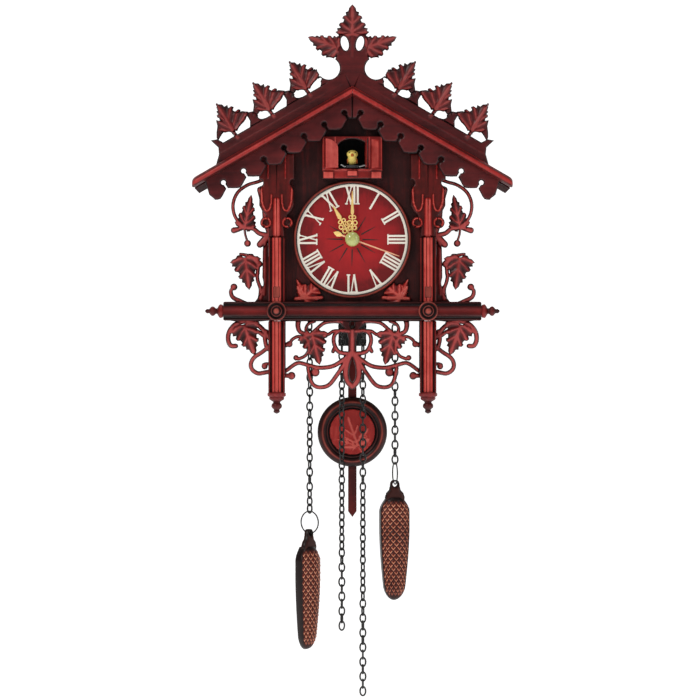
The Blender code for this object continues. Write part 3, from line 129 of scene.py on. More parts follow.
def carvedWood(look):
    # Stained and lacquered wood with grain and blotches; the 'rise' attribute darkens the recesses and edges,
    # partly the finish's darker stain there and partly painted shade, and paints highlights where the carving
    # stands proud
    made, tree, shader = newTree(look["name"])
    place = shaderNode(tree, "TexCoord", {}).outputs["Object"]
    stretched = shaderNode(tree, "Mapping", {"Vector": place, "Scale": look["grain"]}).outputs[0]
    grain = noiseOf(tree, stretched, 1.0, 6.0, 0.62, 0.6)
    pores = noiseOf(tree, stretched, 5.0, 3.0, 0.7)
    blotch = noiseOf(tree, place, look.get("blotch", 32.0), 4.0, 0.6)
    speck = noiseOf(tree, place, 260.0, 3.0, 0.6)
    # painted light: the 'rise' value (painted highlights and shade) is added to the grain here
    grainAndPaintedLight = mathOf(tree, "MULTIPLY_ADD", grain, look.get("grainPull", 0.42))
    if look.get("level") is None:
        rise = shaderNode(tree, "Attribute", {}, attribute_name="rise").outputs["Fac"]
        tree.links.new(rise, grainAndPaintedLight.node.inputs[2])
    else:
        grainAndPaintedLight.node.inputs[2].default_value = look["level"]  # plain boards have no carved rise
    blotchAndPaintedLight = mathOf(tree, "MULTIPLY_ADD", blotch, look.get("blotchPull", 0.5))
    tree.links.new(grainAndPaintedLight, blotchAndPaintedLight.node.inputs[2])
    specksAndPaintedLight = mathOf(tree, "MULTIPLY_ADD", speck, 0.12)
    tree.links.new(blotchAndPaintedLight, specksAndPaintedLight.node.inputs[2])
    shade = mathOf(tree, "SUBTRACT", specksAndPaintedLight, 0.5)
    ramp = shaderNode(tree, "ValToRGB", {"Fac": shade})
    setRamp(ramp, look["stops"])
    gloss = shaderNode(tree, "MapRange", {"Value": blotch, 3: look["rough"] - 0.09, 4: look["rough"] + 0.12})
    tree.links.new(ramp.outputs[0], shader.inputs["Base Color"])
    tree.links.new(gloss.outputs[0], shader.inputs["Roughness"])
    shader.inputs["Coat Weight"].default_value = look.get("coat", 0.12)
    shader.inputs["Coat Roughness"].default_value = 0.22
    shader.inputs["Specular IOR Level"].default_value = look.get("specular", 0.2)
    height = mathOf(tree, "MULTIPLY_ADD", pores, 0.5)
    tree.links.new(grain, height.node.inputs[2])
    bump = shaderNode(
        tree, "Bump", {"Strength": look.get("bump", 0.35), "Distance": 0.0006, "Height": height}
    )
    tree.links.new(bump.outputs[0], shader.inputs["Normal"])
    return made


redStops = [
    (0.14, (0.007, 0.0022, 0.0022)),
    (0.38, (0.036, 0.0042, 0.0042)),
    (0.60, (0.115, 0.0080, 0.0075)),
    (0.82, (0.260, 0.016, 0.014)),
    (1.0, (0.480, 0.055, 0.042)),
]
brightStops = [
    (0.10, (0.012, 0.003, 0.003)),
    (0.32, (0.065, 0.0065, 0.0055)),
    (0.56, (0.200, 0.012, 0.011)),
    (0.80, (0.390, 0.026, 0.022)),
    (1.0, (0.620, 0.100, 0.078)),
]
deepStops = [
    (0.10, (0.005, 0.0018, 0.0018)),
    (0.42, (0.020, 0.0042, 0.0038)),
    (0.72, (0.075, 0.0095, 0.0080)),
    (1.0, (0.340, 0.060, 0.042)),
]
crestStops = [
    (0.14, (0.010, 0.0035, 0.0042)),
    (0.38, (0.034, 0.0060, 0.0068)),
    (0.60, (0.098, 0.0105, 0.0115)),
    (0.82, (0.165, 0.016, 0.016)),
    (1.0, (0.300, 0.048, 0.044)),
]
fretStops = [
    (0.16, (0.008, 0.0030, 0.0030)),
    (0.42, (0.031, 0.0048, 0.0048)),
    (0.64, (0.098, 0.0105, 0.0105)),
    (0.84, (0.205, 0.0180, 0.0175)),
    (1.0, (0.430, 0.064, 0.060)),
]
rawStops = [
    (0.10, (0.160, 0.095, 0.055)),
    (0.45, (0.290, 0.185, 0.110)),
    (0.75, (0.390, 0.265, 0.165)),
    (1.0, (0.520, 0.380, 0.250)),
]
upright, level = (170, 170, 14), (14, 170, 170)
woods = {
    "fretWood": carvedWood({"name": "fretWood", "grain": upright, "rough": 0.36, "stops": fretStops}),
    "crestWood": carvedWood({"name": "crestWood", "grain": level, "rough": 0.40, "stops": crestStops}),
    "brightWood": carvedWood({"name": "brightWood", "grain": upright, "rough": 0.36, "stops": brightStops}),
    "barWood": carvedWood({"name": "barWood", "grain": level, "rough": 0.38, "stops": redStops}),
    "deepWood": carvedWood({"name": "deepWood", "grain": upright, "rough": 0.42, "stops": deepStops}),
    "panelWood": carvedWood(
        {
            "name": "panelWood", "grain": upright, "rough": 0.45, "stops": redStops, "level": 0.26,
            "grainPull": 0.6
        }
    ),
    "roofWood": carvedWood(
        {
            "name": "roofWood", "grain": (60, 160, 60), "rough": 0.8, "stops": redStops, "level": 0.30,
            "coat": 0.0, "specular": 0.04
        }
    ),
    "rawWood": carvedWood(
        {
            "name": "rawWood", "grain": (120, 120, 18), "rough": 0.75, "stops": rawStops, "level": 0.42,
            "coat": 0.0
        }
    ),
    "coneWood": carvedWood(
        {
            "name": "coneWood",
            "grain": (90, 90, 40),
            "rough": 0.38,
            "bump": 0.15,
            "grainPull": 0.2,
            "stops": [
                (0.06, (0.010, 0.003, 0.0025)),
                (0.32, (0.050, 0.008, 0.005)),
                (0.56, (0.170, 0.026, 0.016)),
                (0.80, (0.560, 0.190, 0.100)),
                (1.0, (0.850, 0.450, 0.290)),
            ],
        }
    ),
}


def plainFinish(look):
    # Paint, plastic or metal with a little colour drift, fine wear and an uneven gloss
    made, tree, shader = newTree(look["name"])
    place = shaderNode(tree, "TexCoord", {}).outputs["Object"]
    drift = noiseOf(tree, place, look.get("drift", 60.0), 4.0, 0.6)
    fine = noiseOf(tree, place, look.get("fine", 900.0), 3.0, 0.6)
    first = Vector(look["colour"])
    low = tuple(first * look.get("dark", 0.72))
    high = tuple(min(1.0, channel * look.get("light", 1.18)) for channel in first)
    mixed = mathOf(tree, "MULTIPLY_ADD", fine, 0.25)
    tree.links.new(drift, mixed.node.inputs[2])
    ramp = shaderNode(tree, "ValToRGB", {"Fac": mixed})
    setRamp(ramp, [(0.38, low), (0.62, tuple(first)), (0.86, high)])
    rough = look["rough"]
    gloss = shaderNode(
        tree, "MapRange", {"Value": drift, 3: max(0.05, rough - 0.1), 4: min(1.0, rough + 0.12)}
    )
    tree.links.new(ramp.outputs[0], shader.inputs["Base Color"])
    tree.links.new(gloss.outputs[0], shader.inputs["Roughness"])
    shader.inputs["Metallic"].default_value = look.get("metal", 0.0)
    shader.inputs["Coat Weight"].default_value = look.get("coat", 0.0)
    bump = shaderNode(tree, "Bump", {"Strength": look.get("bump", 0.15), "Distance": 0.0003, "Height": fine})
    tree.links.new(bump.outputs[0], shader.inputs["Normal"])
    return made


def dialPaint():
    # Crimson, brighter in the middle and darker toward the rim, with a cloudy drift over a brushed ground
    made, tree, shader = newTree("dialPaint")
    place = shaderNode(tree, "TexCoord", {}).outputs["Object"]
    offset = shaderNode(tree, "Mapping", {"Vector": place, "Location": (0.0, 0.0, -dialZ * mm)}).outputs[0]
    split = shaderNode(tree, "SeparateXYZ", {"Vector": offset})
    acrossSquare = mathOf(tree, "MULTIPLY", split.outputs[0], split.outputs[0])
    upSquare = mathOf(tree, "MULTIPLY", split.outputs[2], split.outputs[2])
    reach = mathOf(tree, "SQRT", mathOf(tree, "ADD", acrossSquare, upSquare), 0.0)
    share = mathOf(tree, "MULTIPLY", reach, 1 / 0.047)
    cloud = noiseOf(tree, offset, 38.0, 5.0, 0.62, 0.8)
    stretched = shaderNode(tree, "Mapping", {"Vector": offset, "Scale": (420, 60, 40)}).outputs[0]
    brushed = noiseOf(tree, stretched, 1.0, 4.0, 0.6)
    drift = mathOf(tree, "MULTIPLY_ADD", cloud, 0.7)
    tree.links.new(share, drift.node.inputs[2])
    both = mathOf(tree, "MULTIPLY_ADD", brushed, 0.25)
    tree.links.new(drift, both.node.inputs[2])
    ramp = shaderNode(tree, "ValToRGB", {"Fac": mathOf(tree, "SUBTRACT", both, 0.35)})
    setRamp(
        ramp,
        [
            (0.1, (0.46, 0.020, 0.022)), (0.5, (0.38, 0.016, 0.019)), (0.85, (0.27, 0.012, 0.015)),
            (1.0, (0.15, 0.008, 0.010))
        ],
    )
    tree.links.new(ramp.outputs[0], shader.inputs["Base Color"])
    shader.inputs["Specular IOR Level"].default_value = 0.22
    gloss = shaderNode(tree, "MapRange", {"Value": cloud, 3: 0.36, 4: 0.58})
    tree.links.new(gloss.outputs[0], shader.inputs["Roughness"])
    bump = shaderNode(tree, "Bump", {"Strength": 0.12, "Distance": 0.0003, "Height": brushed})
    tree.links.new(bump.outputs[0], shader.inputs["Normal"])
    return made


looks = {
    "creamPaint": plainFinish(
        {"name": "creamPaint", "colour": (0.86, 0.80, 0.70), "rough": 0.5, "dark": 0.88, "light": 1.08}
    ),
    "giltPaint": plainFinish(
        {"name": "giltPaint", "colour": (0.86, 0.60, 0.20), "rough": 0.34, "dark": 0.7, "coat": 0.3}
    ),
    "needlePaint": plainFinish({"name": "needlePaint", "colour": (0.90, 0.48, 0.28), "rough": 0.36}),
    "capPaint": plainFinish(
        {"name": "capPaint", "colour": (0.50, 0.52, 0.17), "rough": 0.2, "coat": 0.7, "dark": 0.6}
    ),
    "birdPaint": plainFinish(
        {"name": "birdPaint", "colour": (0.86, 0.68, 0.16), "rough": 0.45, "drift": 160.0}
    ),
    "beakPaint": plainFinish({"name": "beakPaint", "colour": (0.50, 0.13, 0.03), "rough": 0.4}),
    "inkPaint": plainFinish({"name": "inkPaint", "colour": (0.020, 0.006, 0.006), "rough": 0.5}),
    "chainSteel": plainFinish(
        {
            "name": "chainSteel", "colour": (0.011, 0.010, 0.010), "rough": 0.34, "metal": 0.2, "dark": 0.5,
            "light": 2.2, "drift": 400.0
        }
    ),
    "wireSteel": plainFinish(
        {"name": "wireSteel", "colour": (0.72, 0.72, 0.71), "rough": 0.28, "metal": 1.0}
    ),
    "blackPlastic": plainFinish(
        {"name": "blackPlastic", "colour": (0.022, 0.022, 0.024), "rough": 0.5, "bump": 0.3}
    ),
    "whitePlastic": plainFinish({"name": "whitePlastic", "colour": (0.74, 0.74, 0.70), "rough": 0.45}),
    "cellSleeve": plainFinish(
        {"name": "cellSleeve", "colour": (0.04, 0.09, 0.28), "rough": 0.3, "metal": 0.3}
    ),
    "floorPaper": plainFinish(
        {
            "name": "floorPaper", "colour": (0.93, 0.93, 0.93), "rough": 0.9, "dark": 0.99, "light": 1.01,
            "bump": 0.0
        }
    ),
    "dialPaint": dialPaint(),
}
paper = looks["floorPaper"].node_tree.nodes["Principled BSDF"]
paper.inputs["Emission Color"].default_value = (1.0, 1.0, 1.0, 1.0)
paper.inputs["Emission Strength"].default_value = 0.7
looks.update(woods)
print("materials made")


def addMesh(name, points, faces, look, body, smoothAngle=38.0, rise=None):
    mesh = bpy.data.meshes.new(name)
    mesh.from_pydata([tuple(point) for point in points], [], [tuple(face) for face in faces])
    work = bmesh.new()
    work.from_mesh(mesh)
    bmesh.ops.recalc_face_normals(work, faces=work.faces)
    work.to_mesh(mesh)
    work.free()
    if rise is not None:
        layer = mesh.attributes.new("rise", "FLOAT", "POINT")
        layer.data.foreach_set("value", np.asarray(rise, dtype=np.float32))
    mesh.materials.append(looks[look])
    mesh.shade_smooth()
    mesh.set_sharp_from_angle(angle=math.radians(smoothAngle))
    made = bpy.data.objects.new(name, mesh)
    bpy.context.scene.collection.objects.link(made)
    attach(made, body)
    return made


def smoothLine(points, steps=5):
    ends = [points[0], *points, points[-1]]
    line = []
    for index in range(len(points) - 1):
        before, start, end, after = (Vector(p) for p in ends[index : index + 4])
        for step in range(steps):
            t = step / steps
            line.append(
                0.5
                * (
                    2 * start
                    + (end - before) * t
                    + (2 * before - 5 * start + 4 * end - after) * t**2
                    + (3 * start - before - 3 * end + after) * t**3
                )
            )
    line.append(Vector(points[-1]))
    return line


def segmentShare(points, line, halves):
    # For each point, its least distance to a line as a share of the line's half width there
    least = np.full(len(points), 1e9)
    for index in range(len(line) - 1):
        start, end = np.array(line[index]), np.array(line[index + 1])
        way = end - start
        length = max(float(way @ way), 1e-9)
        t = np.clip(((points - start) @ way) / length, 0, 1)
        gap = points - start - t[:, None] * way
        half = halves[index] + (halves[index + 1] - halves[index]) * t
        least = np.minimum(least, np.hypot(gap[:, 0], gap[:, 1]) / half)
    return least


def distanceTo(points, segments):
    # Least distance from each point to a list of (start, end) segments
    starts = np.array([start for start, end in segments])
    ways = np.array([end for start, end in segments]) - starts
    lengths = np.maximum((ways**2).sum(1), 1e-9)
    least = np.empty(len(points))
    for first in range(0, len(points), 1500):
        group = points[first : first + 1500]
        gap = group[:, None, :] - starts[None]
        t = np.clip((gap * ways[None]).sum(2) / lengths[None], 0, 1)
        gap -= t[:, :, None] * ways[None]
        least[first : first + 1500] = np.sqrt((gap**2).sum(2).min(1))
    return least


def isInside(points, outline):
    found = np.zeros(len(points), bool)
    x, z = points[:, 0], points[:, 1]
    for (ax, az), (bx, bz) in zip(outline, outline[1:] + outline[:1]):
        crosses = (az > z) != (bz > z)
        found ^= crosses & (x < (bx - ax) * (z - az) / (bz - az + 1e-12) + ax)
    return found


def circle(across, up, radius, count=20):
    turns = [2 * math.pi * step / count for step in range(count)]
    return [(across + radius * math.cos(a), up + radius * math.sin(a)) for a in turns]


def ellipse(across, up, halfLong, halfShort, tilt=0.0, count=20):
    c, s = math.cos(tilt), math.sin(tilt)
    turns = [2 * math.pi * step / count for step in range(count)]
    spots = [(halfLong * math.cos(a), halfShort * math.sin(a)) for a in turns]
    return [(across + x * c - y * s, up + x * s + y * c) for x, y in spots]


def rectangle(lowX, lowZ, highX, highZ):
    return [(lowX, lowZ), (highX, lowZ), (highX, highZ), (lowX, highZ)]


def stroke(points, width, endWidth=None, top=1.0):
    # A rounded ribbon along a smooth line
    line = smoothLine(points)
    last = len(line) - 1
    widths = (width, width if endWidth is None else endWidth)
    halves = [(widths[0] + (widths[1] - widths[0]) * index / last) / 2 for index in range(last + 1)]
    left, right, nose, tail = [], [], [], []
    for index, point in enumerate(line):
        way = (line[min(index + 1, last)] - line[max(index - 1, 0)]).normalized()
        side = Vector((-way.y, way.x))
        left.append(point + side * halves[index])
        right.append(point - side * halves[index])
        if index == 0:
            nose = [
                point + (side * math.cos(a) - way * math.sin(a)) * halves[0] for a in (0.6, 1.2, 1.94, 2.54)
            ]
        if index == last:
            tail = [
                point + (
                    -side * math.cos(a) + way * math.sin(a)
                ) * halves[last] for a in (0.6, 1.2, 1.94, 2.54)
            ]
    outline = [tuple(p) for p in nose + right + tail + list(reversed(left))]

    def height(spots):
        share = np.minimum(segmentShare(spots, line, halves), 1)
        return top * (0.30 + 0.70 * np.sqrt(1 - share**2))

    return {"outline": outline, "height": height, "spine": [tuple(p) for p in line]}


def panel(outline, top=0.72):
    return {"outline": list(outline), "height": lambda spots: np.full(len(spots), top), "spine": []}


def ball(across, up, radius, top=1.0):
    def height(spots):
        share = np.minimum(np.hypot(spots[:, 0] - across, spots[:, 1] - up) / radius, 1)
        return top * (0.35 + 0.65 * np.sqrt(1 - share**2))

    rim = circle(across, up, radius * 0.5, 7)
    return {"outline": circle(across, up, radius, 18), "height": height, "spine": [(across, up), *rim]}


leafEdge = [
    (0.02, 0.05), (-0.07, 0.13), (-0.05, 0.25), (0.02, 0.30), (0.04, 0.40), (0.13, 0.50), (0.17, 0.43),
    (0.25, 0.45), (0.27, 0.34), (0.35, 0.40), (0.42, 0.36), (0.44, 0.27), (0.52, 0.24), (0.56, 0.30),
    (0.64, 0.26), (0.66, 0.18), (0.75, 0.20), (0.78, 0.12), (0.88, 0.10),
]
leafVeins = [
    [(0.0, 0.0), (0.96, 0.0)],
    [(0.03, 0.02), (0.06, 0.22), (0.13, 0.46)],
    [(0.03, -0.02), (0.06, -0.22), (0.13, -0.46)],
    [(0.14, 0.01), (0.26, 0.18), (0.40, 0.33)],
    [(0.14, -0.01), (0.26, -0.18), (0.40, -0.33)],
    [(0.38, 0.01), (0.50, 0.12), (0.62, 0.23)],
    [(0.38, -0.01), (0.50, -0.12), (0.62, -0.23)],
]


def leaf(base, tip, width, leftShare=1.0, rightShare=1.0, sweep=0.0):
    # A toothed vine leaf, a rounded rib up each lobe and hollows between them
    base, tip = Vector(base), Vector(tip)
    way = tip - base
    side = Vector((-way.y, way.x)).normalized() * width

    def spot(u, v):
        return tuple(base + way * (u + sweep * abs(v)) + side * v * (leftShare if v > 0 else rightShare))

    outline = [spot(u, -v) for u, v in leafEdge] + [spot(1, 0)] + [spot(u, v) for u, v in reversed(leafEdge)]
    ribs = [[spot(u, v) for u, v in vein] for vein in leafVeins]
    spine = []
    for rib in ribs:
        for start, end in zip(rib, rib[1:]):
            for share in (0.0, 0.25, 0.5, 0.75, 1.0):
                spine.append(tuple(Vector(start).lerp(Vector(end), share)))
    ribWidth = max(0.8, width * 0.062)

    def height(spots):
        nearest = np.full(len(spots), 1e9)
        for index, rib in enumerate(ribs):
            scale = 1.0 if index < 3 else 1.5
            nearest = np.minimum(nearest, segmentShare(spots, rib, [1.0] * len(rib)) * scale)
        ridge = np.exp(-((nearest / ribWidth) ** 2))
        swell = np.exp(-((nearest / (ribWidth * 2.6)) ** 2))
        return 0.22 + 0.38 * swell + 0.42 * ridge

    return {"outline": outline, "height": height, "spine": spine}


def mirrorShape(shape):
    def height(spots):
        return shape["height"](spots * np.array([-1.0, 1.0]))

    flipped = [(-x, z) for x, z in reversed(shape["outline"])]
    return {"outline": flipped, "height": height, "spine": [(-x, z) for x, z in shape["spine"]]}


def carve(name, shapes, holes, look, carving, body="case", place=None):
    # A carved board: the union of the shapes less the holes, its front raised by their heights
    front, back, depth = carving["front"], carving["back"], carving["depth"]
    cell, rounding = carving.get("cell", 1.1), carving.get("rounding", 1.2)
    outlines = []
    for outline in [shape["outline"] for shape in shapes] + holes:
        area = sum(a[0] * b[1] - b[0] * a[1] for a, b in zip(outline, outline[1:] + outline[:1]))
        outlines.append(outline if area > 0 else list(reversed(outline)))
    corners, loops, segments = [], [], []
    for outline in outlines:
        first = len(corners)
        corners.extend(Vector(point) for point in outline)
        loops.append(list(range(first, len(corners))))
        segments.extend((outline[i - 1], outline[i]) for i in range(len(outline)))
    everything = np.array([tuple(corner) for corner in corners])
    low, high = everything.min(0), everything.max(0)
    rows = np.arange(low[1], high[1], cell * 0.87)
    grid = []
    for index, up in enumerate(rows):
        shift = cell / 2 if index % 2 else 0
        grid.extend((across, up) for across in np.arange(low[0] + shift, high[0], cell))
    grid = np.array(grid)
    covered = np.zeros(len(grid), bool)
    for outline in outlines[: len(shapes)]:
        covered |= isInside(grid, outline)
    for outline in outlines[len(shapes) :]:
        covered &= ~isInside(grid, outline)
    grid = grid[covered]
    if len(grid):
        grid = grid[distanceTo(grid, segments) > cell * 0.4]
    spine = [point for shape in shapes for point in shape["spine"]]
    if spine:
        spine = np.array(spine)
        spine = spine[distanceTo(spine, segments) > 0.3]
        if len(spine) and len(grid):
            near = np.array([np.hypot(*(spine - point).T).min() for point in grid])
            grid = grid[near > cell * 0.5]
    loose = [Vector(point) for point in grid] + [Vector(point) for point in spine]
    flat, _, cells, _, _, owners = delaunay_2d_cdt(corners + loose, [], loops, 1, 1e-4)
    kept = [face for face, owner in zip(cells, owners) if owner and max(owner) < len(shapes)]
    used = sorted({index for face in kept for index in face})
    renumber = {old: new for new, old in enumerate(used)}
    faces = [tuple(renumber[i] for i in face) for face in kept]
    spots = np.array([tuple(flat[index]) for index in used])
    edges = {(face[i], face[(i + 1) % len(face)]) for face in faces for i in range(len(face))}
    rim = [(a, b) for a, b in edges if (b, a) not in edges]
    gap = distanceTo(spots, [(spots[a], spots[b]) for a, b in rim])
    soft = np.clip(gap / rounding, 0, 1)
    soft = np.sqrt(np.maximum(0, 1 - (1 - soft) ** 2))
    raised = np.zeros(len(spots))
    for shape in shapes:
        within = isInside(spots, shape["outline"])
        if within.any():
            raised[within] = np.maximum(raised[within], shape["height"](spots[within]))
    raised = raised * soft
    count = len(spots)
    depths = front + depth * (1 - raised)
    points = [(x * mm, y * mm, z * mm) for (x, z), y in zip(spots, depths)]
    points += [(x * mm, back * mm, z * mm) for x, z in spots]
    if place is not None:
        points = [tuple(place @ Vector(point)) for point in points]
    backs = [tuple(i + count for i in reversed(face)) for face in faces]
    walls = [(b, a, a + count, b + count) for a, b in rim]
    # painted shading into the 'rise' attribute: painted highlights where the carving stands high, painted
    # shade along its low rims, and backShade on the back faces
    shade = np.concatenate([raised, np.full(count, carving.get("backShade", 0.28))])
    return addMesh(name, points, faces + backs + walls, look, body, 50.0, shade)


def turnedPiece(name, profile, centre, axis, look, body, count=48, paintedShading=None, closed=False):
    # A lathe-turned piece from (distance along the axis, radius) pairs in millimetres
    # each ring's painted shading value: painted highlights on the bulges, painted shade in the hollows
    points, faces, shade = [], [], []
    for index, (out, radius) in enumerate(profile):
        for step in range(count):
            a = 2 * math.pi * step / count
            x, y = radius * math.cos(a), radius * math.sin(a)
            offset = {"X": (out, x, y), "Y": (x, out, y), "Z": (x, y, out)}[axis]
            points.append(tuple((c + o) * mm for c, o in zip(centre, offset)))
            shade.append(paintedShading[index] if paintedShading else 0.5)
    rings = len(profile)
    for ring in range(rings if closed else rings - 1):
        for step in range(count):
            a, b = ring * count + step, ring * count + (step + 1) % count
            c, d = (ring + 1) % rings * count + (step + 1) % count, (ring + 1) % rings * count + step
            faces.append((a, b, c, d))
    if not closed:
        faces.append(tuple(range(count)))
        faces.append(tuple(range(len(points) - count, len(points))))
    return addMesh(name, points, faces, look, body, 40.0, shade)


def sectionPiece(name, section, stations, look, body, paintedShading):
    # A moulding: the same number of (x, y, z) points at every station, in millimetres
    count = len(section)
    # each section point's painted shading value: painted highlights on the faces that catch the light,
    # painted shade in the grooves
    points, faces, shade = [], [], []
    for place in stations:
        points.extend(tuple(v * mm for v in place(point)) for point in section)
        shade.extend(paintedShading)
    for span in range(len(stations) - 1):
        for index in range(count):
            a, b = span * count + index, span * count + (index + 1) % count
            faces.append((a, b, b + count, a + count))
    faces.append(tuple(range(count)))
    faces.append(tuple(range(len(points) - count, len(points))))
    return addMesh(name, points, faces, look, body, 34.0, shade)

chainLook = {"wire": 1.5, "pitch": 6.24, "width": 6.4}


def chainLink(centre, angle, drop=0.0):
    # Points and faces of one oval link, its long side upright
    half = (chainLook["pitch"] + chainLook["wire"]) / 2 + drop
    wide = (chainLook["width"] - chainLook["wire"]) / 2
    points, faces = [], []
    around, corners = 20, 8
    for step in range(around):
        a = 2 * math.pi * step / around
        out = Vector((wide * math.cos(a), 0, half * math.sin(a)))
        way = Vector((-wide * math.sin(a), 0, half * math.cos(a))).normalized()
        side = way.cross(Vector((0, 1, 0)))
        for corner in range(corners):
            b = 2 * math.pi * corner / corners
            bend = side * math.cos(b) + Vector((0, 1, 0)) * math.sin(b)
            spot = out + bend * chainLook["wire"] / 2
            points.append(centre + Matrix.Rotation(angle, 3, "Z") @ spot)
    for step in range(around):
        for corner in range(corners):
            a, b = step * corners + corner, step * corners + (corner + 1) % corners
            c, d = (step + 1) % around * corners + (
                corner + 1
            ) % corners, (step + 1) % around * corners + corner
            faces.append((a, b, c, d))
    return points, faces


def makeChain(run):
    # A run of interlocked links, each turned a quarter from the last, with a slow twist
    points, faces = [], []
    low, high, pitch = run["low"], run["high"], chainLook["pitch"]
    count = int((high - low) / pitch)
    twist = run["turn"]
    for index in range(count):
        height = low + chainLook["pitch"] / 2 + index * pitch
        twist += random.uniform(-0.22, 0.22)
        centre = Vector((run["across"], -49, height))
        spots, quads = chainLink(centre, twist + index * math.pi / 2)
        faces.extend(tuple(i + len(points) for i in quad) for quad in quads)
        points.extend(spots)
    made = addMesh(
        run["name"], [p * mm for p in points], faces, "chainSteel", run["body"], 60.0
    )
    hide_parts(run["node"])
    path = [(run["across"] * mm, -0.049, (high - (high - low) * step / 60) * mm) for step in range(61)]
    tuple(path[0])
    return made


chainRuns = [
    {
        "name": "freeChainLeft", "node": "free_chain_left", "body": "left_free_run",
        "across": -9, "low": -429, "high": -97, "turn": 0.5, "end": "bare",
    },
    {
        "name": "freeChainRight", "node": "free_chain_right", "body": "right_free_run",
        "across": 9, "low": -485, "high": -97, "turn": 0.1, "end": "bare",
    },
    {
        "name": "weightChainLeft", "node": "weight_chain_left", "body": "left_weight_run",
        "across": -36.5, "low": -328.8, "high": -115, "turn": math.radians(52), "end": "bare",
    },
    {
        "name": "weightChainRight", "node": "weight_chain_right", "body": "right_weight_run",
        "across": 36.5, "low": -286.8, "high": -115, "turn": math.radians(12), "end": "bare",
    },
]
for run in chainRuns:
    makeChain(run)
print("chains made")


def makeRing(side, centre, turn):
    ring = {"radius": 9.4, "wire": 0.6}
    points, faces = [], []
    spin = Matrix.Rotation(turn, 3, "Z")
    for step in range(56):
        a = 2 * math.pi * step / 56
        out = spin @ Vector((0, math.cos(a), math.sin(a)))
        across = spin @ Vector((1, 0, 0))
        for corner in range(10):
            b = 2 * math.pi * corner / 10
            points.append(
                (
                    centre + out * (
                        ring["radius"] + ring["wire"] * math.cos(b)
                    ) + across * ring["wire"] * math.sin(b)
                ) * mm
            )
    for step in range(56):
        for corner in range(10):
            a, b = step * 10 + corner, step * 10 + (corner + 1) % 10
            c, d = (step + 1) % 56 * 10 + (corner + 1) % 10, (step + 1) % 56 * 10 + corner
            faces.append((a, b, c, d))
    made = addMesh(
        f"weightRing{side.title()}", points, faces, "chainSteel", f"{side}_weight", 60.0
    )
    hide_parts(f"weight_ring_{side}")


def coneWidth(share):
    shoulder = 0.55 + 0.45 * math.sin(min(share / 0.14, 1) * math.pi / 2)
    taper = 1 - 0.38 * max(0, (share - 0.3) / 0.7) ** 1.6
    foot = math.sqrt(max(0, 1 - ((share - 0.86) / 0.14) ** 2)) if share > 0.86 else 1.0
    return shoulder * taper * foot


cone = {
    "length": 88, "half": 12.8, "depth": 13, "wall": 5.6, "rows": 14.5, "columns": 6.6, "relief": 1.25,
    "border": 0.075
}


def makeCone(side, eye, turn):
    # A half pine cone: rows of lipped scales on its face, a smooth dark rim and a flat back
    spin = Matrix.Rotation(turn, 3, "Z")
    shoulder = eye.z - 11.5
    around, stations = 110, 240
    points, faces, shade = [], [], []
    for row in range(stations + 1):
        share = row / stations
        share = share if share < 0.9 else 0.9 + 0.1 * math.sin((share - 0.9) / 0.1 * math.pi / 2)
        swell = max(coneWidth(share), 0.06)
        width, full = swell * cone["half"], cone["depth"] * swell**0.7
        wall = cone["wall"] * swell**0.7
        height = Vector((eye.x, eye.y, shoulder - share * cone["length"]))
        ring = [(width - 0.4, 0.0, 0.02), (width, 0.5, 0.03)]
        for step in range(around + 1):
            s = step / around
            rows, columns = share * cone["rows"], (s - 0.5) * cone["columns"]
            first, second = (rows + columns) % 1.0, (rows - columns) % 1.0
            fall = (first + second) / 2
            rim = min(first, second, 1 - first, 1 - second)
            lip = min(1.0, rim * 6) * (0.15 + 0.85 * fall**1.2)
            glint = max(0.0, 1 - abs(max(first, second) - 0.78) / 0.17) * min(1.0, min(first, second) * 5)
            inset = min(1.0, max(0.0, (min(s, 1 - s) - cone["border"]) * 30))
            ends = min(1.0, max(0.0, share - 0.02) * 24) * min(1.0, max(0.0, 0.985 - share) * 20)
            sunk = cone["relief"] * (1 - lip) * inset * ends
            a = math.pi * s
            # painted shade in the seams between scales, painted highlight (glint) along each scale's lower
            # lip, darker along the rim and ends
            ring.append(
                (
                    (width - sunk) * math.cos(a), wall + (full - wall - sunk) * math.sin(a),
                    0.10 + (0.42 * min(1.0, rim * 9) + 0.52 * glint) * inset * ends
                )
            )
        ring += [(-width, 0.5, 0.03), (0.4 - width, 0.0, 0.02)]
        for x, out, bright in ring:
            points.append((height + spin @ Vector((x, cone["depth"] * 0.45 - out, 0))) * mm)
            shade.append(bright)
    columns = around + 5
    for row in range(stations):
        for step in range(columns):
            a, b = row * columns + step, row * columns + (step + 1) % columns
            faces.append((a, b, b + columns, a + columns))
    faces.append(tuple(range(columns)))
    faces.append(tuple(range(len(points) - columns, len(points))))
    made = addMesh(
        f"pineCone{side.title()}", points, faces, "coneWood", f"{side}_weight", 60.0, shade
    )
    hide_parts(f"weight_{side}")
    half = [
        (8.2, shoulder - 3), (8.4, shoulder + 0.5), (7.2, shoulder + 4), (4.9, shoulder + 6.4),
        (4.1, eye.z - 2), (3.8, eye.z + 1)
    ]
    half += [(2.8, eye.z + 2.9), (1.2, eye.z + 3.6)]
    plate = half + [(-across, up) for across, up in reversed(half)]
    place = Matrix.Translation((eye.x * mm, eye.y * mm, 0)) @ spin.to_4x4()
    carving = {"front": -3.4, "back": 2.6, "depth": 2.8, "cell": 0.7, "rounding": 2.6}
    hole = [circle(0, eye.z, 2.2, 18)]
    neck = carve(
        f"coneNeck{side.title()}", [panel(plate, 0.36)], hole, "coneWood", carving, f"{side}_weight",
        place
    )
    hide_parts(f"weight_{side}")


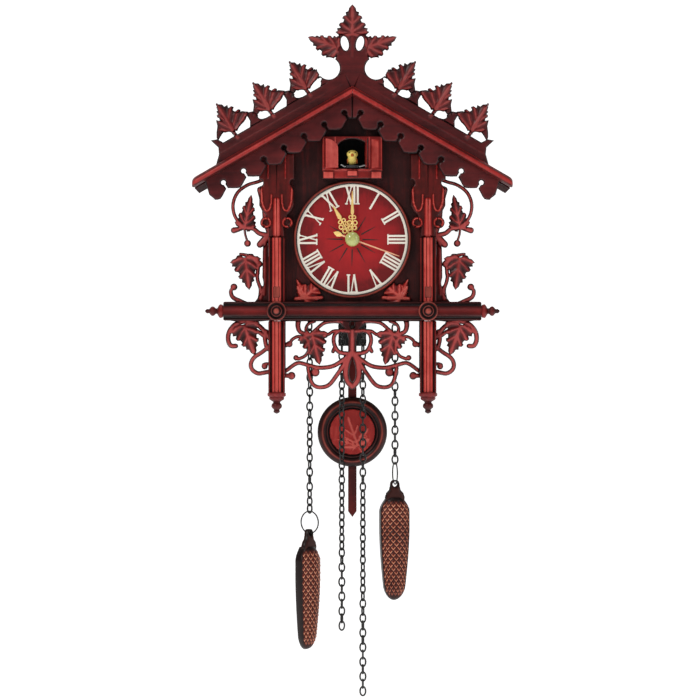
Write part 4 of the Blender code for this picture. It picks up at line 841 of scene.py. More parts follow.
for side, across, bottom, turn in (
    ("left", -36.5, -327, math.radians(52)), ("right", 36.5, -285, math.radians(12))
):
    centre = Vector((across, -49, bottom - 10.4))
    makeRing(side, centre, turn)
    makeCone(side, centre - Vector((0, 0, 9.4)), turn)
print("weights made")

ridge = 32.3
roofHalf = 135


def slopePoint(distance, rise, sign):
    return sign * (distance * along + rise * 0.5), ridge - distance * 0.5 + rise * along


crest = {"front": -95.3, "back": -90.3, "depth": 3.0, "cell": 1.1, "rounding": 1.5, "band": 21, "pitch": 35.5}
earEdge = [
    (-31, -9), (-27, -5.5), (-24.5, -1.5), (-22.5, 3), (-19.5, 4), (-16.6, 2.4), (-16.6, -3), (-13, -9)
]
firstEarEdge = [(-24, -9), (-18.5, -4), (-15.6, 0.6), (-13, -0.4), (-13.6, -5), (-10, -9)]


def crestShapes():
    shapes, holes = [], []
    end = roofHalf / along - 22
    band = crest["band"]
    mid = 3.7
    for sign in (-1, 1):
        spots = [(mid * slope, -mid), (end, -mid), (end - 1.5, 0.6), (end - 7.8, 6.8), (end - 10.2, 12)]
        spots += [(end - 7.6, band - 0.6), (end - 13, band - 2.6), (end - 16, band - 7.4), (0, band - 7.4)]
        shapes.append(panel([slopePoint(d, r, sign) for d, r in spots], 0.5))
        shapes.append(stroke([slopePoint(d, 6.4, sign) for d in (5, 50, 100, end - 9)], 2.0, 2.0, 0.62))
        for index in range(3):
            down = end - 28 - index * crest["pitch"]
            stem = slopePoint(down, band - 5.2, sign)
            tip = (stem[0] + sign * 14.8, stem[1] + 24.3)
            shares = (1.42, 0.72) if sign > 0 else (0.72, 1.42)
            shapes.append(leaf(stem, tip, 26, *shares, 0.36))
            shapes.append(stroke([slopePoint(down - 0.5, band - 10, sign), stem, tip], 4.4, 2, 0.9))
            ear = firstEarEdge if index == 2 else earEdge
            shapes.append(panel([slopePoint(down + shift, band + rise, sign) for shift, rise in ear], 0.52))
            toEar = -15.5 if index == 2 else -19.2
            innerLobe = [
                (-1, -3), (-6, 1.4), (-13, 1.8), (toEar, 1.6), (toEar, 4.6), (-15, 7.6), (-8, 9), (-3, 6)
            ]
            outerLobe = [
                (1, -3), (7, 0.2), (11, -1.6), (15.4, -4.2), (15, -1.2), (12.6, 3), (9.5, 7), (8, 12), (3, 8)
            ]
            for lobe in (innerLobe, outerLobe):
                shapes.append(
                    panel([slopePoint(down + shift, band + rise, sign) for shift, rise in lobe], 0.5)
                )
            outerHole = slopePoint(down + 6.6, band - 4.1, sign)
            innerHole = slopePoint(down - 9.4, band - 3.6, sign)
            holes.append(ellipse(*outerHole, 4.8, 3, -sign * math.radians(25)))
            holes.append(ellipse(*innerHole, 6.8, 1.9, -sign * math.radians(48)))
    apex = ridge - 3.7 / along
    eave = apex - 26 * slope + 1
    half = [(26, eave), (19, ridge + 8), (12.6, ridge + 29), (13.4, ridge + 37), (11.6, ridge + 43.4)]
    trunk = [(0, apex), *half, (0, ridge + 45), *[(-across, up) for across, up in reversed(half)]]
    shapes.append(panel(trunk, 0.54))
    shapes.append(stroke([(0, ridge + 26), (0, ridge + 34), (0, ridge + 44)], 3.6, 3.6, 0.7))
    shapes.append(leaf((0, ridge + 42.5), (0, ridge + 69.5), 29))
    for sign in (-1, 1):
        shares = (0.66, 0.95) if sign > 0 else (0.95, 0.66)
        shapes.append(leaf((sign * 10.6, ridge + 32), (sign * 37.6, ridge + 42), 29, *shares, 0.1))
        holes.append(circle(sign * 20, ridge + 15.3, 9.4, 32))
        holes.append(ellipse(sign * 6.4, ridge + 36.4, 6.2, 3.2, math.radians(90 - sign * 12), 24))
    return shapes, holes


shapes, holes = crestShapes()
piece = carve("crestCarving", shapes, holes, "crestWood", crest)
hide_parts("crest_board")
print("crest made")

fascia = {"height": 7.4, "depth": 10, "back": -95.6}
# (depth share, height share, painted shading): painted highlights on the beads, painted shade in the steps
fasciaSection = [
    (0, 0.02, 0.1), (0, 0.98, 0.1), (0.06, 1.0, 0.3), (0.38, 1.0, 0.7), (0.46, 0.97, 0.8), (0.5, 0.91, 0.3),
    (0.56, 0.88, 0.2),
    (0.68, 0.88, 0.7), (0.74, 0.84, 0.5), (0.80, 0.78, 0.2), (0.90, 0.74, 0.6), (0.97, 0.64, 0.85),
    (1.0, 0.5, 0.9),
    (0.98, 0.36, 0.85), (0.92, 0.24, 0.6), (0.82, 0.18, 0.2), (0.76, 0.12, 0.4), (0.64, 0.1, 0.5),
    (0.56, 0.06, 0.2), (0.48, 0.0, 0.4),
]
for side, sign in (("Left", -1), ("Right", 1)):
    def fasciaStation(across, swell):
        def place(point):
            drop = fascia["height"] * (0.5 - (point[1] - 0.5) * swell)
            return sign * across, fascia["back"] - fascia[
                "depth"
            ] * point[0] * swell, ridge - across * slope - drop / along

        return place

    stations = [
        fasciaStation(a, s) for a,
        s in ((0.15, 1), (60, 1), (131.5, 1), (133.4, 0.95), (134.6, 0.78), (135, 0.55))
    ]
    piece = sectionPiece(
        f"roofMoulding{side}", fasciaSection, stations, "brightWood", "case",
        [p[2] * 0.8 for p in fasciaSection]
    )
    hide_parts(f"fascia_{side.lower()}")

fringe = {"front": -94.3, "back": -90.3, "depth": 1.7, "cell": 1.2, "rounding": 1.1, "pitch": 17, "teeth": 7}


def fringeShapes(sign):
    def line(across, drop):
        return ridge - across * slope - drop / along

    first = 0.4 * fringe["pitch"]
    lower = [(0.0, line(first, 7.4) - 14.5)]
    holes = []
    for index in range(fringe["teeth"]):
        across = first + index * fringe["pitch"]
        up = line(across, 7.4) - 9.7
        lower += [
            (across - 2.8, up - 4.6), (across - 0.6, up - 8.6), (across + 1.2, up - 12.0),
            (across + 2.6, up - 13.8)
        ]
        lower += [(across + 4.6, up - 14.4), (across + 9, up - 14.6)]
        holes.append(circle(sign * across, up, 2, 18))
        slit = [(sign * across, up), (sign * (across - 3.4), up - 5.4)]
        holes.append(stroke(slit, 1.3)["outline"])
    end = first + fringe["teeth"] * fringe["pitch"] - 4
    endUp = line(first + (fringe["teeth"] - 1) * fringe["pitch"], 7.4) - 24
    lower += [
        (end - 6, endUp), (end - 1, endUp + 4), (end + 2, line(end, 7.4) - 2), (end + 4, line(end + 4, 4.0))
    ]
    lower.append((0.0, line(0.0, 4.0)))
    return [panel([(sign * across, up) for across, up in lower], 0.55)], holes


for side, sign in (("Left", -1), ("Right", 1)):
    shapes, holes = fringeShapes(sign)
    piece = carve(f"fringeBoard{side}", shapes, holes, "crestWood", fringe)
    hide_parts(f"fringe_{side.lower()}")
print("roof front made")

postX = 64.0
fret = {"front": -80.8, "back": -76.3, "depth": 2.4, "cell": 1.1, "rounding": 1.1}
barTop, barBottom = -149.2, -165.2


fullness = 1.16  # the fretwork's ribbons, over their thinnest


def besidePost(sign, base):
    def spot(out, up):
        return sign * (postX + out), base + up

    def line(points, width, endWidth=None, top=1.0):
        return stroke(
            [spot(*point) for point in points], width * fullness, (endWidth or width) * fullness, top
        )

    return spot, line


def upperFret(sign):
    spot, line = besidePost(sign, barTop)
    arch = [(10, 104), (17, 101.5), (25, 99), (33, 93), (37, 84), (36.4, 75), (32.4, 67.5), (27, 63.5)]
    shapes = [
        line(arch, 2.6),
        leaf(spot(27.4, 62), spot(21.6, 91), 19),
        line([(28, 63), (33, 61.5), (36.5, 60.6)], 3, 4.6),
        line([(27.4, 62), (26.8, 57), (24.9, 51)], 1.8),
        ball(*spot(24.9, 49.6), 3),
        line([(27, 62.5), (20, 62), (14.6, 58), (6, 56.2)], 3, 4),
        line([(5, 58), (9, 53.6), (14.4, 48.6)], 7, 5),
        line([(14, 95), (10, 80), (8.5, 68), (5, 58)], 5, 6),
        line([(31, 40.6), (24.4, 39), (18.2, 35.6), (14.8, 32)], 2, 5),
        leaf(spot(27, 38.5), spot(23.4, 10), 27),
        ball(*spot(36.4, 12.6), 3),
        line([(36.8, 12), (39, 9), (37.4, 4), (31, 0.5), (26, -2)], 2.6, 4),
        line([(15, 33.6), (16.2, 26), (16, 18.6), (13.4, 10.6), (14, 3)], 2.6, 4),
        panel([spot(*c) for c in ((2, 58), (12, 44), (12.5, 8), (20, -1.5), (2, -1.5))], 0.5),
        line([(9, 54), (10.2, 44), (10.2, 20), (11, 6)], 3, 3, 0.9),
        panel([spot(*c) for c in ((2, -0.5), (2, -6), (44, -6), (44, -0.5))], 0.5),
    ]
    slit = spot(13.2, 18.6)
    return shapes, [ellipse(slit[0], slit[1], 5.4, 1.4, math.radians(90 - sign * 12), 16)]


def lowerFret(sign):
    spot, line = besidePost(sign, barBottom)
    upperLine = [(6, -15), (8, -12.4), (12.3, -7), (18.2, -2.4), (26.2, -0.4), (34.8, -2.8)]
    upperLine += [(40.2, -9), (41.3, -16), (39.1, -21), (34.8, -21.4)]
    lowerLine = [(5, -20.5), (12.3, -26.4), (19.3, -31.2), (22, -36.4), (20.9, -41.4)]
    lowerLine += [(16, -44.6), (9.6, -43.8), (5, -43)]
    return [
        line(upperLine, 3.6),
        line([(15.6, -9.4), (11.7, -12.4)], 3),
        leaf(spot(28.4, -2.5), spot(18.4, -29.5), 27),
        line(lowerLine, 3.2, 3.4),
        line([(9, -9), (10.2, -14), (8.4, -23), (5, -24)], 3.4),
        ball(*spot(10.4, -38.6), 2.7),
        line([(11.4, -37.2), (8.4, -36.4), (5, -37.6)], 2.4),
        panel([spot(*c) for c in ((2, 5), (42, 5), (42, 0.5), (30, -1.5), (20, -1.2), (2, 0.5))], 0.5),
        panel([spot(*c) for c in ((2, 5), (6.5, 5), (6.5, -48), (2, -48))], 0.4),
    ], []


def bottomFret():
    high = barBottom

    def line(points, width, endWidth=None, top=1.0):
        return stroke(
            [(across, high + up) for across, up in points], width * fullness, (endWidth or width) * fullness,
            top
        )

    hook = [
        (-53, -19), (-50.6, -15.6), (-45.2, -13.4), (-38.6, -16), (-36.6, -23), (-39.9, -29.6), (-45.9, -32.4)
    ]
    link = [
        (-61, -45.5), (-55.8, -42), (-46.7, -36), (-38.3, -37.4), (-28.5, -39.8), (-17.8, -38.8),
        (-10.3, -35), (-2.7, -29)
    ]
    loop = [
        (-5, -33), (-8.4, -39), (-12.4, -45), (-19.4, -54), (-26.2, -56.4), (-32.3, -55), (-35.6, -49.6),
        (-37.6, -40)
    ]
    half = [
        line([(-9, -1), (-16, -0.6), (-24, -2), (-31, -7.6), (-36, -12)], 3, 2.6),
        line([(-32, -0.5), (-37.6, -3), (-39.4, -8), (-36, -11.6)], 2.4),
        line([(-45.2, 2), (-46.2, -4), (-44, -9.6), (-35.5, -12)], 4.2, 3),
        line([(-4, -9.2), (-14.8, -8.6), (-20, -11.4), (-24, -13)], 2.6),
        leaf((-34.5, high - 10), (-27.6, high - 37.5), 27),
        line(hook, 2.6),
        ball(-53.4, high - 19.8, 2.8),
        ball(-47.8, high - 31.4, 2.4),
        line(link, 3, 3.4),
        line(loop, 3.4, 3),
        ball(-31.5, high - 43.6, 3.8),
        ball(-51.6, high - 46.6, 3.4),
        line([(-61, -46), (-55, -46.6), (-51.6, -46.6)], 3.4),
        line([(-1.6, -28), (-4.6, -36), (-5.6, -44), (-4.2, -51), (0, -56)], 5, 4.4),
        line([(-3, -9), (-10, -8.4), (-15, -12), (-15.6, -19), (-11.4, -26.4), (-2, -28)], 2.8, 3.4),
        line([(-14.6, -22), (-16.4, -26)], 3, 3),
        line([(-61, -22), (-56, -20.4), (-53.4, -19.8)], 3.6),
    ]
    stem = [
        (-11, 4), (11, 4), (10, -3), (5, -9), (3, -18), (3.4, -30), (-3.4, -30), (-3, -18), (-5, -9),
        (-10, -3)
    ]
    shapes = half + [mirrorShape(shape) for shape in half]
    shapes.append(panel([(across, high + up) for across, up in stem], 0.55))
    shapes.append(line([(0, -8), (0, -18), (0, -29)], 3.4, 3.8))
    shapes.append(panel(rectangle(-59, high - 0.5, 59, high + 4.6), 0.5))
    for sign in (-1, 1):
        edge = sorted((sign * 56.5, sign * 61))
        shapes.append(panel(rectangle(edge[0], high - 48, edge[1], high + 4.6), 0.4))
    return shapes, [ellipse(0, high - 3, 3.6, 1.9, math.radians(90), 16)]


for side, sign in (("Left", -1), ("Right", 1)):
    shapes, holes = upperFret(sign)
    piece = carve(f"upperFretCarving{side}", shapes, holes, "fretWood", fret)
    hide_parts(f"upper_fret_{side.lower()}")
    shapes, holes = lowerFret(sign)
    piece = carve(f"lowerFretCarving{side}", shapes, holes, "fretWood", fret)
    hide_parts(f"lower_fret_{side.lower()}")
shapes, holes = bottomFret()
piece = carve("bottomFretCarving", shapes, holes, "fretWood", fret)
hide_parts("bottom_fret")
print("frets made")

cornerLeaf = {"front": -80.3, "back": -76.3, "depth": 2.6, "cell": 0.9, "rounding": 0.8}
for side, sign in (("Left", -1), ("Right", 1)):
    low = barTop + 0.6
    shapes = [
        leaf((sign * 42, low + 2), (sign * 24, low + 17), 24),
        leaf((sign * 40, low + 3), (sign * 47.5, low + 19), 13),
        stroke([(sign * 48, low + 2), (sign * 38, low + 2.4), (sign * 26, low + 3)], 3.6),
    ]
    piece = carve(
        f"cornerCarving{side}", shapes, [circle(0, dialZ, 50.5, 96)], "brightWood", cornerLeaf,
    )
    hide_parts(f"corner_leaf_{side.lower()}")

capital = {"front": -87.4, "back": -81.1, "depth": 3.4, "cell": 1.0, "rounding": 1.3}
foot = -94.7
for side, sign in (("Left", -1), ("Right", 1)):
    middle = sign * postX
    half = [(0, foot + 71), (15, foot + 71), (15, foot + 48), (12.6, foot + 44), (14.6, foot + 38)]
    half += [(14.8, foot + 27), (12.5, foot + 22.5), (9, foot + 19), (6, foot + 10), (6.8, foot)]
    half.append((0, foot))
    shapes, holes = [], []
    for way in (-1, 1):
        shapes.append(panel([(middle + way * across, up) for across, up in half], 0.36))
        shapes.append(ball(middle + way * 9.0, foot + 12.5, 5.1, 0.22))
        curl = [(13.6, 46), (12.8, 38), (12.2, 30), (9.6, 23), (6.6, 23.4), (4.6, 29), (4.4, 36)]
        shapes.append(stroke([(middle + way * across, foot + up) for across, up in curl], 2.5, 2.1))
        ringTurns = [math.radians(a) for a in range(-60, 301, 30)]
        volute = [(9.0 + 3.7 * math.cos(a), 12.5 + 3.7 * math.sin(a)) for a in ringTurns]
        shapes.append(stroke([(middle + way * across, foot + up) for across, up in volute], 2.6, 2.2))
        shapes.append(
            stroke([(middle + way * 7.4, foot + 50), (middle + way * 7.2, foot + 70)], 2.0, 2.0, 0.8)
        )
        holes.append(circle(middle + way * 14.2, foot + 46, 2.8))
    shapes.append(stroke([(middle, foot + 31), (middle, foot + 16), (middle, foot + 2.4)], 6.4, 7.2, 0.95))
    piece = carve(f"capitalCarving{side}", shapes, holes, "brightWood", capital)
    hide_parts(f"capital_{side.lower()}")

# (across, depth, painted shading): painted highlights on the flat faces, painted shade in the flutes and side
# grooves
postSection = [
    (-7, 0, 0.1), (-7, -8.0, 0.15), (-6.5, -8.9, 0.45), (-5.7, -8.9, 0.4), (-5.2, -8.1, 0.1),
    (-4.6, -7.8, 0.0), (-4.0, -8.2, 0.2),
    (-3.6, -8.8, 0.8), (-1.9, -9.0, 0.95), (-1.5, -8.5, 0.1), (-1.1, -9.0, 0.9), (1.1, -9.0, 0.95),
    (1.5, -8.5, 0.1), (1.9, -9.0, 0.9),
    (3.6, -8.8, 0.8), (4.0, -8.2, 0.2), (4.6, -7.8, 0.0),
    (5.2, -8.1, 0.1), (5.7, -8.9, 0.4), (6.5, -8.9, 0.45), (7, -8.0, 0.15), (7, 0, 0.1),
]
postFinial = [
    (0.6, 5.5), (0.2, 7.2), (-0.4, 7.8), (-2.2, 7.9), (-2.9, 7.4), (-3.4, 6.3), (-5.0, 6.4), (-5.8, 6.0),
    (-7.4, 3.4), (-8.0, 3.0),
    (-8.6, 3.1), (-9.2, 3.9), (-10.2, 4.4), (-11.6, 4.5), (-12.8, 4.0), (-13.8, 2.7), (-14.6, 2.3),
    (-15.4, 2.8), (-16.4, 2.6),
    (-17.2, 1.4), (-17.6, 0.5),
]
for side, sign in (("Left", -1), ("Right", 1)):
    middle = sign * postX
    runs = [
        ("Upper", -95.0, barTop - 0.3, 1.0), ("Lower", barBottom - 0.3, -226.2, 1.0),
        ("Lap", barTop, barBottom, 0.45)
    ]
    for label, top, bottom, share in runs:
        def postStation(up, swell):
            return lambda point: (middle + point[0] * swell, -81.1 + point[1] * share * swell, up)

        heights = [(top, 0.93), (top - 0.7, 1.0), (bottom + 0.7, 1.0), (bottom, 0.93)]
        stations = [postStation(up, swell) for up, swell in heights]
        piece = sectionPiece(
            f"post{label}{side}", postSection, stations, "brightWood", "case",
            [p[2] for p in postSection]
        )
        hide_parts(f"post_{side.lower()}")
    shade = [0.3 + 0.5 * (radius / 7.9) for out, radius in postFinial]
    piece = turnedPiece(
        f"postFoot{side}", postFinial, (middle, -85.6, -226.2), "Z", "fretWood", "case", 40, shade
    )
    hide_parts(f"post_{side.lower()}")
    inset = [panel(rectangle(middle - 3.2, -146.5, middle + 3.2, -136), 0.9)]
    carving = {"front": -90.5, "back": -89.0, "depth": 0.9, "cell": 1.4, "rounding": 1.0}
    piece = carve(f"postInset{side}", inset, [], "deepWood", carving)

# (depth share, height share, painted shading): the front centre painted bright, the edges and grooves painted
# shade
barSection = [
    (0, 0.02, 0.1), (0, 0.98, 0.1), (0.06, 1.0, 0.2), (0.48, 1.0, 0.3), (0.55, 0.97, 0.4), (0.58, 0.92, 0.35),
    (0.54, 0.86, 0.05),
    (0.6, 0.80, 0.1), (0.9, 0.77, 0.3), (0.98, 0.73, 0.45), (1.0, 0.68, 0.5), (0.97, 0.6, 0.62),
    (0.96, 0.5, 0.66), (0.97, 0.4, 0.55),
    (1.0, 0.32, 0.45), (0.98, 0.27, 0.4), (0.9, 0.23, 0.25), (0.6, 0.20, 0.1), (0.54, 0.14, 0.05),
    (0.58, 0.08, 0.3), (0.55, 0.03, 0.35),
    (0.48, 0.0, 0.2),
]
bar = {"back": -85.4, "depth": 9, "half": 109}
barStations = []
barEnd = bar["half"]
for across, swell in ((-barEnd, 0.9), (1 - barEnd, 1.0), (0, 1.0), (barEnd - 1, 1.0), (barEnd, 0.9)):
    def barStation(across, swell):
        def place(point):
            up = barBottom + 8 + (point[1] - 0.5) * 16 * swell
            return across, bar["back"] - bar["depth"] * point[0], up

        return place

    barStations.append(barStation(across, swell))
piece = sectionPiece(
    "crossBarMoulding", barSection, barStations, "barWood", "case", [p[2] for p in barSection]
)
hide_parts("cross_bar")
barFinial = [
    (-1, 3), (0.2, 4.8), (0.8, 5.6), (2.6, 5.9), (3.4, 5.4), (4.2, 4.2), (5.0, 2.7), (5.6, 2.3), (6.4, 2.5),
    (7.4, 3.5), (8.6, 4.1),
    (9.8, 4.0), (10.8, 3.1), (11.6, 2.0), (12.4, 1.7), (13.4, 2.0), (14.4, 1.5), (15.3, 0.6),
]
for side, sign in (("Left", -1), ("Right", 1)):
    profile = [(sign * out, radius) for out, radius in barFinial]
    shade = [0.25 + 0.5 * radius / 5.9 for out, radius in barFinial]
    piece = turnedPiece(
        f"barTip{side}", profile, (sign * barEnd, -89.9, barBottom + 8), "X", "barWood", "case", 36,
        shade
    )
    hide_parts("cross_bar")

bossProfile = [
    (0, 8.0), (-0.4, 8.3), (-1.6, 8.3), (-2.2, 8.0), (-2.6, 7.4), (-2.7, 6.8), (-2.0, 6.2), (-1.7, 5.6),
    (-2.1, 5.0), (-2.9, 4.5),
    (-3.1, 4.0), (-2.7, 3.4), (-3.2, 2.9), (-4.1, 2.2), (-4.7, 1.2), (-4.8, 0.3),
]
bossShade = [0.2, 0.6, 0.7, 0.9, 0.8, 0.5, 0.1, 0.0, 0.3, 0.8, 0.7, 0.1, 0.4, 0.8, 1.0, 1.0]
for side, sign in (("Left", -1), ("Right", 1)):
    centre = (sign * postX, -94.7, barBottom + 8)
    piece = turnedPiece(
        f"bossTurning{side}", bossProfile, centre, "Y", "deepWood", "case", 48, bossShade
    )
    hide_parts(f"boss_{side.lower()}")
print("posts and bar made")

rimProfile = [
    (0, 47.3), (0, 49.8), (-0.3, 50), (-3.8, 50), (-5.0, 49.7), (-6.0, 49.2), (-6.6, 48.6), (-6.8, 48.2),
    (-6.6, 47.7), (-5.8, 47.3),
]
rimShade = [0.1, 0.2, 0.3, 0.4, 0.6, 0.9, 1.0, 0.9, 0.6, 0.3]
piece = turnedPiece(
    "dialBezel", rimProfile, (0, -76.3, dialZ), "Y", "deepWood", "case", 128, rimShade, True
)
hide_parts("dial_rim")


def flatPiece(name, outlines, holes, look, body, front, back, soften=0.16):
    # A thin flat piece with softened front edges
    shapes = [panel(outline, 1.0) for outline in outlines]
    carving = {"front": front, "back": back, "depth": soften, "cell": 1.2, "rounding": 0.3}
    return carve(name, shapes, holes, look, carving, body)


def turnedOutline(outline, angle, centreZ=dialZ):
    c, s = math.cos(angle), math.sin(angle)
    return [(x * c + z * s, centreZ - x * s + z * c) for x, z in outline]


face = [circle(0, dialZ, 47, 96)]
piece = flatPiece("dialFace", face, [circle(0, dialZ, 5, 32)], "dialPaint", "case", -79.8, -76.3)
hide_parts("dial_plate")
rays = []
for hour in range(12):
    ray = [(-0.55, 8.5), (0.55, 8.5), (0.5, 15), (0.12, 22.5), (-0.12, 22.5), (-0.5, 15)]
    rays.append(turnedOutline(ray, math.radians(30 * hour + 1)))
piece = flatPiece("dialRays", rays, [], "inkPaint", "case", -79.95, -79.7, 0.05)
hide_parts("dial_plate")
piece = flatPiece(
    "hourRing", [circle(0, dialZ, 46.9, 128)], [circle(0, dialZ, 44.9, 128)], "creamPaint", "case",
    -80.9, -80.1
)
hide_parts("chapter_ring")
numerals = {"inner": 29.6, "outer": 45.2, "thick": 1.7, "thin": 0.95, "serif": 1.15}
characters = {"I": 2.9, "V": 6.6, "X": 6.2}


def bandOutline(start, end, width):
    a, b = Vector(start), Vector(end)
    side = Vector((-(b - a).y, (b - a).x)).normalized() * width / 2
    return [tuple(p) for p in (a + side, a - side, b - side, b + side)]


def numeralOutlines(text):
    low, high = numerals["inner"], numerals["outer"]
    total = sum(characters[letter] for letter in text)
    start = -total / 2
    outlines = []
    for letter in text:
        wide = characters[letter]
        middle = start + wide / 2
        if letter == "I":
            outlines.append(
                rectangle(middle - numerals["thick"] / 2, low, middle + numerals["thick"] / 2, high)
            )
            if text != "I":
                outlines.append(
                    rectangle(
                        middle - wide / 2 - 0.05, low, middle + wide / 2 + 0.05, low + numerals["serif"]
                    )
                )
        elif letter == "V":
            outlines.append(bandOutline((middle - 2.4, high), (middle, low), numerals["thick"]))
            outlines.append(bandOutline((middle + 2.4, high), (middle, low), numerals["thin"]))
            outlines.append(rectangle(middle - 3.4, high - 1.1, middle + 3.4, high))
        else:
            outlines.append(bandOutline((middle - 2.2, high), (middle + 2.2, low), numerals["thick"]))
            outlines.append(bandOutline((middle + 2.2, high), (middle - 2.2, low), numerals["thin"]))
            for up in (low, high - 1.1):
                for way in (-1, 1):
                    outlines.append(
                        rectangle(middle + way * 2.2 - 1.2, up, middle + way * 2.2 + 1.2, up + 1.1)
                    )
        start += wide
    return outlines


for hour, text in enumerate("XII I II III IIII V VI VII VIII IX X XI".split()):
    outlines = [turnedOutline(outline, math.radians(30 * hour)) for outline in numeralOutlines(text)]
    piece = flatPiece(
        f"hourMark{hour or 12}", outlines, [], "creamPaint", "case", -80.6, -79.75, 0.14
    )
    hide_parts("chapter_ring")
print("dial made")


def ringOutlines(across, up, outer, inner):
    return circle(across, up, outer, 22), circle(across, up, inner, 16)


def handOutlines(hand):
    # Scrolled and pierced hand, drawn upright: rings in pairs, a stem and a leaf-shaped point
    solids = [
        circle(0, 0, hand["hub"], 28), stroke([(0, 0), (0, hand["length"] * 0.85)], 1.3, 0.9)["outline"]
    ]
    holes = []
    for up, offset, outer, inner in hand["rings"]:
        for way in (-1, 1):
            solid, hole = ringOutlines(way * offset, up, outer, inner)
            solids.append(solid)
            holes.append(hole)
    start = hand["pointFrom"]
    wide = hand["pointWidth"]
    solids.append(
        [
            (-wide * 0.3, start), (wide * 0.3, start), (wide, start + 2.6), (0.3, hand["length"]),
            (-0.3, hand["length"]), (-wide, start + 2.6)
        ]
    )
    return solids, holes


handSets = [
    {
        "name": "hourPointer", "node": "hour_hand", "body": "hour_work", "turn": -30,
        "front": -84.0, "back": -83.2, "length": 33, "hub": 4.4, "hole": 3.5,
        "rings": [(9.2, 2.1, 2.3, 1.1), (13.6, 3.1, 2.2, 1.1), (17.6, 1.7, 1.9, 0.9)],
        "pointFrom": 19, "pointWidth": 1.9,
    },
    {
        "name": "minutePointer", "node": "minute_hand", "body": "minute_work", "turn": 0,
        "front": -85.4, "back": -84.6, "length": 41, "hub": 3.6, "hole": 2.3,
        "rings": [(9.6, 1.9, 2.1, 1.0), (14.0, 2.3, 2.2, 1.2), (18.6, 1.5, 1.8, 0.9)],
        "pointFrom": 20, "pointWidth": 1.5,
    },
]
for hand in handSets:
    solids, holes = handOutlines(hand)
    turn = math.radians(hand["turn"])
    solids = [turnedOutline(outline, turn) for outline in solids]
    holes = [turnedOutline(outline, turn) for outline in holes] + [circle(0, dialZ, hand["hole"], 24)]
    shapes = [panel(outline, 1.0) for outline in solids]
    carving = {"front": hand["front"], "back": hand["back"], "depth": 0.4, "cell": 0.7, "rounding": 0.6}
    piece = carve(hand["name"], shapes, holes, "giltPaint", carving, hand["body"])
    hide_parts(hand["node"])
needle = [
    stroke([(0, -12), (0, 38)], 1.5, 0.9)["outline"],
    stroke([(0, 30), (0, 42)], 0.9, 0.5)["outline"],
]
turn = math.radians(110)
needle = [turnedOutline(outline, turn) for outline in needle]
piece = flatPiece("secondPointer", needle, [], "needlePaint", "second_work", -86.6, -86.0, 0.2)
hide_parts("second_hand")
tail = [
    (0, -17), (1.2, -15.6), (2.3, -13.2), (1.6, -10.6), (0, -8.6), (-1.6, -10.6), (-2.3, -13.2), (-1.2, -15.6)
]
piece = flatPiece(
    "secondTail", [turnedOutline(tail, turn)], [], "giltPaint", "second_work", -86.7, -86.0, 0.3
)
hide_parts("second_hand")
capProfile = [
    (0.3, 5.6), (-0.4, 6.1), (-1.2, 6.2), (-2.2, 5.9), (-3.1, 5.2), (-3.8, 4.3), (-4.4, 3.2), (-4.7, 1.9),
    (-4.8, 0.4)
]
piece = turnedPiece("secondCap", capProfile, (0, -86.3, dialZ), "Y", "capPaint", "second_work", 48)
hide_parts("second_hand")
print("hands made")


def archOutline(half, bottom, top, count=16):
    rise = half * 0.62
    spring = top - rise
    head = [
        (
            half * math.cos(math.pi * step / count), spring + rise * math.sin(math.pi * step / count)
        ) for step in range(count + 1)
    ]
    return [(-half, bottom), (half, bottom), *head]


porch = {
    "front": -89.0, "back": -76.3, "half": 25.5, "low": -45.5, "high": -9.3, "sill": -36.5, "head": -11.5
}
carving = {"front": porch["front"], "back": porch["back"], "depth": 0.9, "cell": 1.3, "rounding": 0.9}
outer = panel(rectangle(-porch["half"], porch["low"], porch["half"], porch["high"]), 0.55)
shapes = [outer]
for way in (-1, 1):
    for offset in (14.4, 24.6):
        shapes.append(
            stroke([(way * offset, porch["low"] + 8), (way * offset, porch["high"] - 1)], 1.4, 1.4, 1.0)
        )
    shapes.append(
        panel(rectangle(way * 19.5 - 3.0, porch["low"] + 9, way * 19.5 + 3.0, porch["high"] - 3), 0.9)
    )
shapes.append(stroke([(-25, porch["low"] + 7.6), (25, porch["low"] + 7.6)], 1.4, 1.4, 1.0))
doorway = archOutline(13, porch["sill"], porch["head"])
piece = carve("porchFront", shapes, [doorway], "brightWood", carving)
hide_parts("bird_house")
for label, low, high, frontFace in (
    ("FootLeft", (-24.9, -45.5), (-15.7, -38.6), -90.6),
    ("FootRight", (15.7, -45.5), (24.9, -38.6), -90.6),
    ("Step", (-4.5, -43.5), (4.5, -38.1), -90.8),
):
    block = {"front": frontFace, "back": -88.4, "depth": 0.8, "cell": 1.3, "rounding": 0.9}
    shapes = [panel(rectangle(low[0], low[1], high[0], high[1]), 0.95)]
    piece = carve(f"porch{label}", shapes, [], "brightWood", block)
    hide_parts("bird_house")

